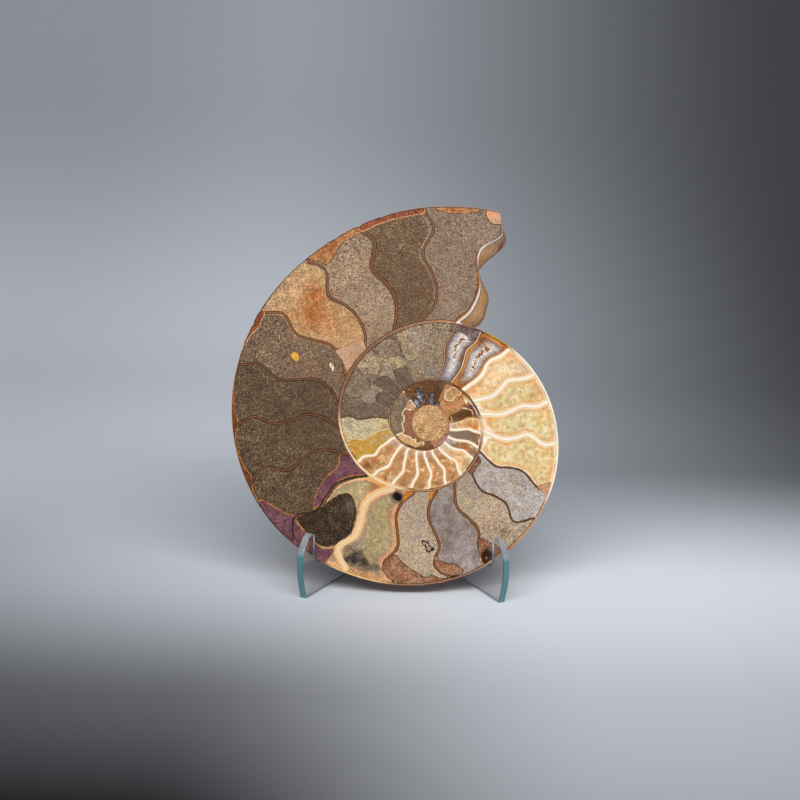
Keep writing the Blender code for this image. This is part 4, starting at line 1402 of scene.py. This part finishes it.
def painted_falloff_floor_material(settings):
    """Pale matt paper with painted shade in place of the lamps' falloff. The floor is painted
    darker towards the front, towards the left and a little at the far right; the backdrop is
    painted darker towards the right, towards the top and a little at the far left. Measures run
    sideways and from the front along the floor and up, in millimetres."""
    shader = Shader("studio_paper_painted_falloff")
    side, back, up = shader.axes()
    along = back + up
    # Painted shade on the floor: darker towards the front (more so on the left), towards the left,
    # and at the far right.
    near = along.step(10.0, -170.0) * (side.step(90.0, -90.0) * 0.42 + 0.3)
    floor = side.step(-290.0, 70.0) * 0.62 + 0.38
    floor = floor * (along.step(-400.0, -60.0) * 0.4 + 0.6 - near)
    floor = floor * (1.0 - side.step(110.0, 260.0) * 0.14)
    # Painted shade on the backdrop: darker towards the right, towards the top and at the far left.
    backdrop = 0.08 + side.step(300.0, -120.0) * (0.8 - along.step(420.0, 850.0) * 0.37)
    backdrop = backdrop * (1.0 - side.step(-60.0, -240.0) * 0.16)
    tone = floor + (backdrop - floor) * along.step(-20.0, 180.0)
    return shader.finished({
        "Base Color": shader.scaled(tuple(settings.floor_colour), tone), "Roughness": 0.75,
        "Specular IOR Level": 0.2,
    })


def smooth_line(knots, steps):
    """Points on the smooth curve through the knots, with a few steps between each two, evenly
    along the straight lines that join them."""
    knots = np.array(knots, float)
    along = np.concatenate(([0.0], np.cumsum(np.hypot(*np.diff(knots, axis=0).T))))
    share = np.arange(steps * (len(knots) - 1) + 1) / steps
    at = np.interp(share, np.arange(len(knots)), along)
    return np.stack([smooth_curve(tuple(zip(along, side)), at) for side in knots.T], axis=1)


def panel_outline(slot_opens_up):
    """Counter-clockwise from the front foot: along the floor, up the back, down the notch and
    round the lip."""
    crossing = FOOT_SPREAD / 2 / math.sin(PANEL_ANGLE)
    end = crossing + PANEL_TAIL
    crossed = PANEL_THICKNESS / math.sin(2 * PANEL_ANGLE)
    crossed += PANEL_THICKNESS / math.tan(2 * PANEL_ANGLE)
    side = crossed / 2 + GAP
    floor, top = [(0.0, 0.0)], [(end, 0.0), (end, TAIL_HEIGHT)]
    back = smooth_line(BACK_EDGE, LIP_STEPS)[::-1]
    if slot_opens_up:
        level = SLOT_LEVEL - GAP / 2
        top += [(crossing + side, TAIL_HEIGHT), (crossing + side, level)]
        top += [(crossing - side, level)]
        back[0] = (crossing - side, TAIL_HEIGHT)
    else:
        level = SLOT_LEVEL + GAP / 2
        floor += [(crossing - side, 0.0), (crossing - side, level)]
        floor += [(crossing + side, level), (crossing + side, 0.0)]
    crest = smooth_line(UPRIGHT_TOP, CREST_STEPS)[::-1]
    inner, outer = (smooth_line(edge, LIP_STEPS)[::-1] for edge in (LIP_INNER, LIP_OUTER))
    notch = (UPRIGHT_FOOT, NOTCH_END)
    return np.concatenate((floor, top, back, crest[1:], notch, inner, outer[1:-1]))


def stand_panel(name, side, slot_opens_up, edge):
    """A panel on the left (side -1) or right (+1): the outline on both faces, joined round it,
    then turned to its angle and moved until its box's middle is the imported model's."""
    outline = panel_outline(slot_opens_up)
    count = len(outline)
    half = PANEL_THICKNESS / 2
    along, up = outline.T
    faces = [np.column_stack((along, np.full(count, depth), up)) for depth in (-half, half)]
    points = np.concatenate(faces) @ turned(math.pi / 2 + side * PANEL_ANGLE, 2).T * MM
    low, high = (np.array(corner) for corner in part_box(name))
    points += (low + high) / 2 - (points.min(0) + points.max(0)) / 2
    here = np.arange(count)
    there = np.roll(here, -1)
    sides = np.stack((here, here + count, there + count, there), axis=1)
    faces = [here.tolist(), (here[::-1] + count).tolist()] + sides[:, ::-1].tolist()
    mesh = bpy.data.meshes.new(name.replace("stand", "acrylic"))
    mesh.from_pydata(points, [], faces)
    layer = mesh.attributes.new("edge", "FLOAT", "FACE")
    layer.data.foreach_set("value", np.arange(len(faces)) >= 2)
    close_up(mesh, 0.0)
    panel = add_thing(mesh.name, mesh)
    bevel = panel.modifiers.new("flame_polished_edges", "BEVEL")
    bevel.width = edge
    bevel.segments = EDGE_STEPS
    bevel.limit_method = "ANGLE"
    bevel.angle_limit = EDGE_CORNER
    return panel


class AMMONITE_PG_fossil(bpy.types.PropertyGroup):
    ribs: bpy.props.FloatProperty(
        name="Rib depth", description="Depth of the grooves between the flank's ribs",
        default=0.6 * MM, min=0.0, max=1.0 * MM, unit="LENGTH",
    )
    cavity: bpy.props.FloatProperty(
        name="Cavity depth", description="Depth of the open cavities in the polished face",
        default=1.6 * MM, min=0.0, max=4.0 * MM, unit="LENGTH",
    )


class AMMONITE_PG_stand(bpy.types.PropertyGroup):
    edge: bpy.props.FloatProperty(
        name="Edge radius", description="Rounding of the panels' polished edges",
        default=0.3 * MM, min=0.05 * MM, max=1.0 * MM, unit="LENGTH",
    )
    edge_colour: bpy.props.FloatVectorProperty(
        name="Edge colour", description="Tint that the sheet shows at its edges", size=3,
        default=(0.088, 0.225, 0.255), min=0.0, max=1.0, subtype="COLOR",
    )
    absorption: bpy.props.FloatProperty(
        name="Absorption", description="Density of the tint inside the sheet", default=6.0,
        min=0.0, max=100.0,
    )


class AMMONITE_PG_stage(bpy.types.PropertyGroup):
    floor_colour: bpy.props.FloatVectorProperty(
        name="Floor colour", description="Colour of the floor and backdrop", size=3,
        default=(0.88, 0.92, 1.0), min=0.0, max=1.0, subtype="COLOR",
    )
    fill: bpy.props.FloatProperty(
        name="Fill light", description="Strength of the even light from all round", default=0.24,
        min=0.0, max=2.0, subtype="FACTOR",
    )
    light: bpy.props.FloatProperty(
        name="Light", description="Strength of the studio lamps", default=1.0, min=0.0, max=4.0,
        subtype="FACTOR",
    )


class AMMONITE_OT_fossil(bpy.types.Operator):
    """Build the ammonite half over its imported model"""

    bl_idname = "ammonite.fossil"
    bl_label = "Ammonite half"

    def execute(self, context):
        settings = context.scene.ammonite_fossil
        strip, disc, face_edge = face_surface()
        flank, navel, fan, top, foot = back_surface(settings.ribs / MM)
        mouth = mouth_surface(top, face_edge, foot)
        place = shell_place([strip, flank, mouth])
        for part in (strip, disc):
            add_patches(part, settings.cavity / MM)
        shell = joined_mesh("polished_ammonite", [strip, disc, flank, navel, fan, mouth], place)
        for material in (section_material, back_material, mouth_material):
            shell.data.materials.append(material())
        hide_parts("ammonite_half")
        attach(shell, "root")
        return {"FINISHED"}


class AMMONITE_OT_stand(bpy.types.Operator):
    """Build the two slotted acrylic panels"""

    bl_idname = "ammonite.stand"
    bl_label = "Acrylic stand"

    def execute(self, context):
        settings = context.scene.ammonite_stand
        material = acrylic_material(settings)
        for node, side, slot_opens_up in (
            ("stand_panel_left", -1, True), ("stand_panel_right", 1, False)
        ):
            panel = stand_panel(node, side, slot_opens_up, settings.edge)
            panel.data.materials.append(material)
            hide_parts(node)
            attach(panel, "root")
        return {"FINISHED"}


class AMMONITE_OT_stage(bpy.types.Operator):
    """Build the floor, the lamps and the camera"""

    bl_idname = "ammonite.stage"
    bl_label = "Studio"

    def execute(self, context):
        settings = context.scene.ammonite_stage
        scene = context.scene
        scene.view_settings.view_transform = "Standard"
        add_floor(settings)
        for name, spot, aim, size, power, tint in LAMPS:
            add_lamp(name, spot, aim, size, power * settings.light, tint)
        world = bpy.data.worlds.new("studio_light")
        world.use_nodes = True
        background = world.node_tree.nodes["Background"]
        background.inputs["Color"].default_value = (*WORLD_COLOUR, 1.0)
        background.inputs["Strength"].default_value = settings.fill
        scene.world = world
        add_camera()
        return {"FINISHED"}


def add_floor(settings):
    """Floor and backdrop in one sheet: a profile that runs back along the floor, round a quarter
    circle and up, carried across the studio."""
    arc = np.linspace(0.0, np.pi / 2, SWEEP_STEPS)
    profile = np.concatenate((
        [(-STUDIO, 0.0)],
        np.stack((SWEEP_AT + SWEEP_RADIUS * np.sin(arc), SWEEP_RADIUS * (1 - np.cos(arc))), 1),
        [(SWEEP_AT + SWEEP_RADIUS, STUDIO)],
    ))
    sides = np.repeat((-STUDIO, STUDIO), len(profile))
    points = np.column_stack((sides, np.tile(profile, (2, 1))))
    mesh = bpy.data.meshes.new("floor")
    mesh.from_pydata(points, [], grid_faces(2, len(profile)).tolist())
    mesh.polygons.foreach_set("use_smooth", np.ones(len(mesh.polygons), bool))
    mesh.materials.append(painted_falloff_floor_material(settings))
    floor = add_thing("floor", mesh)


def add_lamp(name, spot, aim, size, power, tint):
    """A rectangular lamp at one place, turned to shine at another."""
    light = bpy.data.lights.new(name, "AREA")
    light.shape = "RECTANGLE"
    light.size, light.size_y = size
    light.energy = power
    light.color = tint
    lamp = add_thing(name, light)
    lamp.location = spot
    lamp.rotation_euler = (Vector(aim) - Vector(spot)).to_track_quat("-Z", "Y").to_euler()


def add_camera():
    """The camera looks down on the target by its pitch, from its distance, and is rolled."""
    back = Vector((0.0, -math.cos(CAMERA_PITCH), math.sin(CAMERA_PITCH)))
    camera = add_thing("camera", bpy.data.cameras.new("camera"))
    camera.data.lens = CAMERA_LENS
    camera.data.sensor_width = CAMERA_SENSOR
    turn = back.to_track_quat("Z", "Y").to_matrix() @ Matrix.Rotation(CAMERA_ROLL, 3, "Z")
    camera.rotation_euler = turn.to_euler()
    camera.location = Vector(CAMERA_TARGET) + back * CAMERA_DISTANCE
    camera.data.clip_start, camera.data.clip_end = CAMERA_CLIP
    bpy.context.scene.camera = camera


class AMMONITE_PT_sidebar(bpy.types.Panel):
    bl_idname = "AMMONITE_PT_sidebar"
    bl_label = "Ammonite half on stand"
    bl_space_type = "VIEW_3D"
    bl_region_type = "UI"
    bl_category = "Ammonite"

    def draw(self, context):
        for operator, group in PIECES:
            box = self.layout.box()
            for key in getattr(context.scene, group).__annotations__:
                box.prop(getattr(context.scene, group), key)
            box.operator(operator)


PIECES = (
    ("ammonite.fossil", "ammonite_fossil"),
    ("ammonite.stand", "ammonite_stand"),
    ("ammonite.stage", "ammonite_stage"),
)
GROUPS = (AMMONITE_PG_fossil, AMMONITE_PG_stand, AMMONITE_PG_stage)
CLASSES = (
    *GROUPS, AMMONITE_OT_fossil, AMMONITE_OT_stand, AMMONITE_OT_stage, AMMONITE_PT_sidebar
)


def register():
    for item in CLASSES:
        bpy.utils.register_class(item)
    for (_, name), group in zip(PIECES, GROUPS):
        setattr(bpy.types.Scene, name, bpy.props.PointerProperty(type=group))


def unregister():
    for _, name in PIECES:
        delattr(bpy.types.Scene, name)
    for item in reversed(CLASSES):
        bpy.utils.unregister_class(item)


def main():
    register()
    bpy.ops.ammonite.fossil()
    bpy.ops.ammonite.stand()
    bpy.ops.ammonite.stage()


if __name__ == "__main__":
    main()
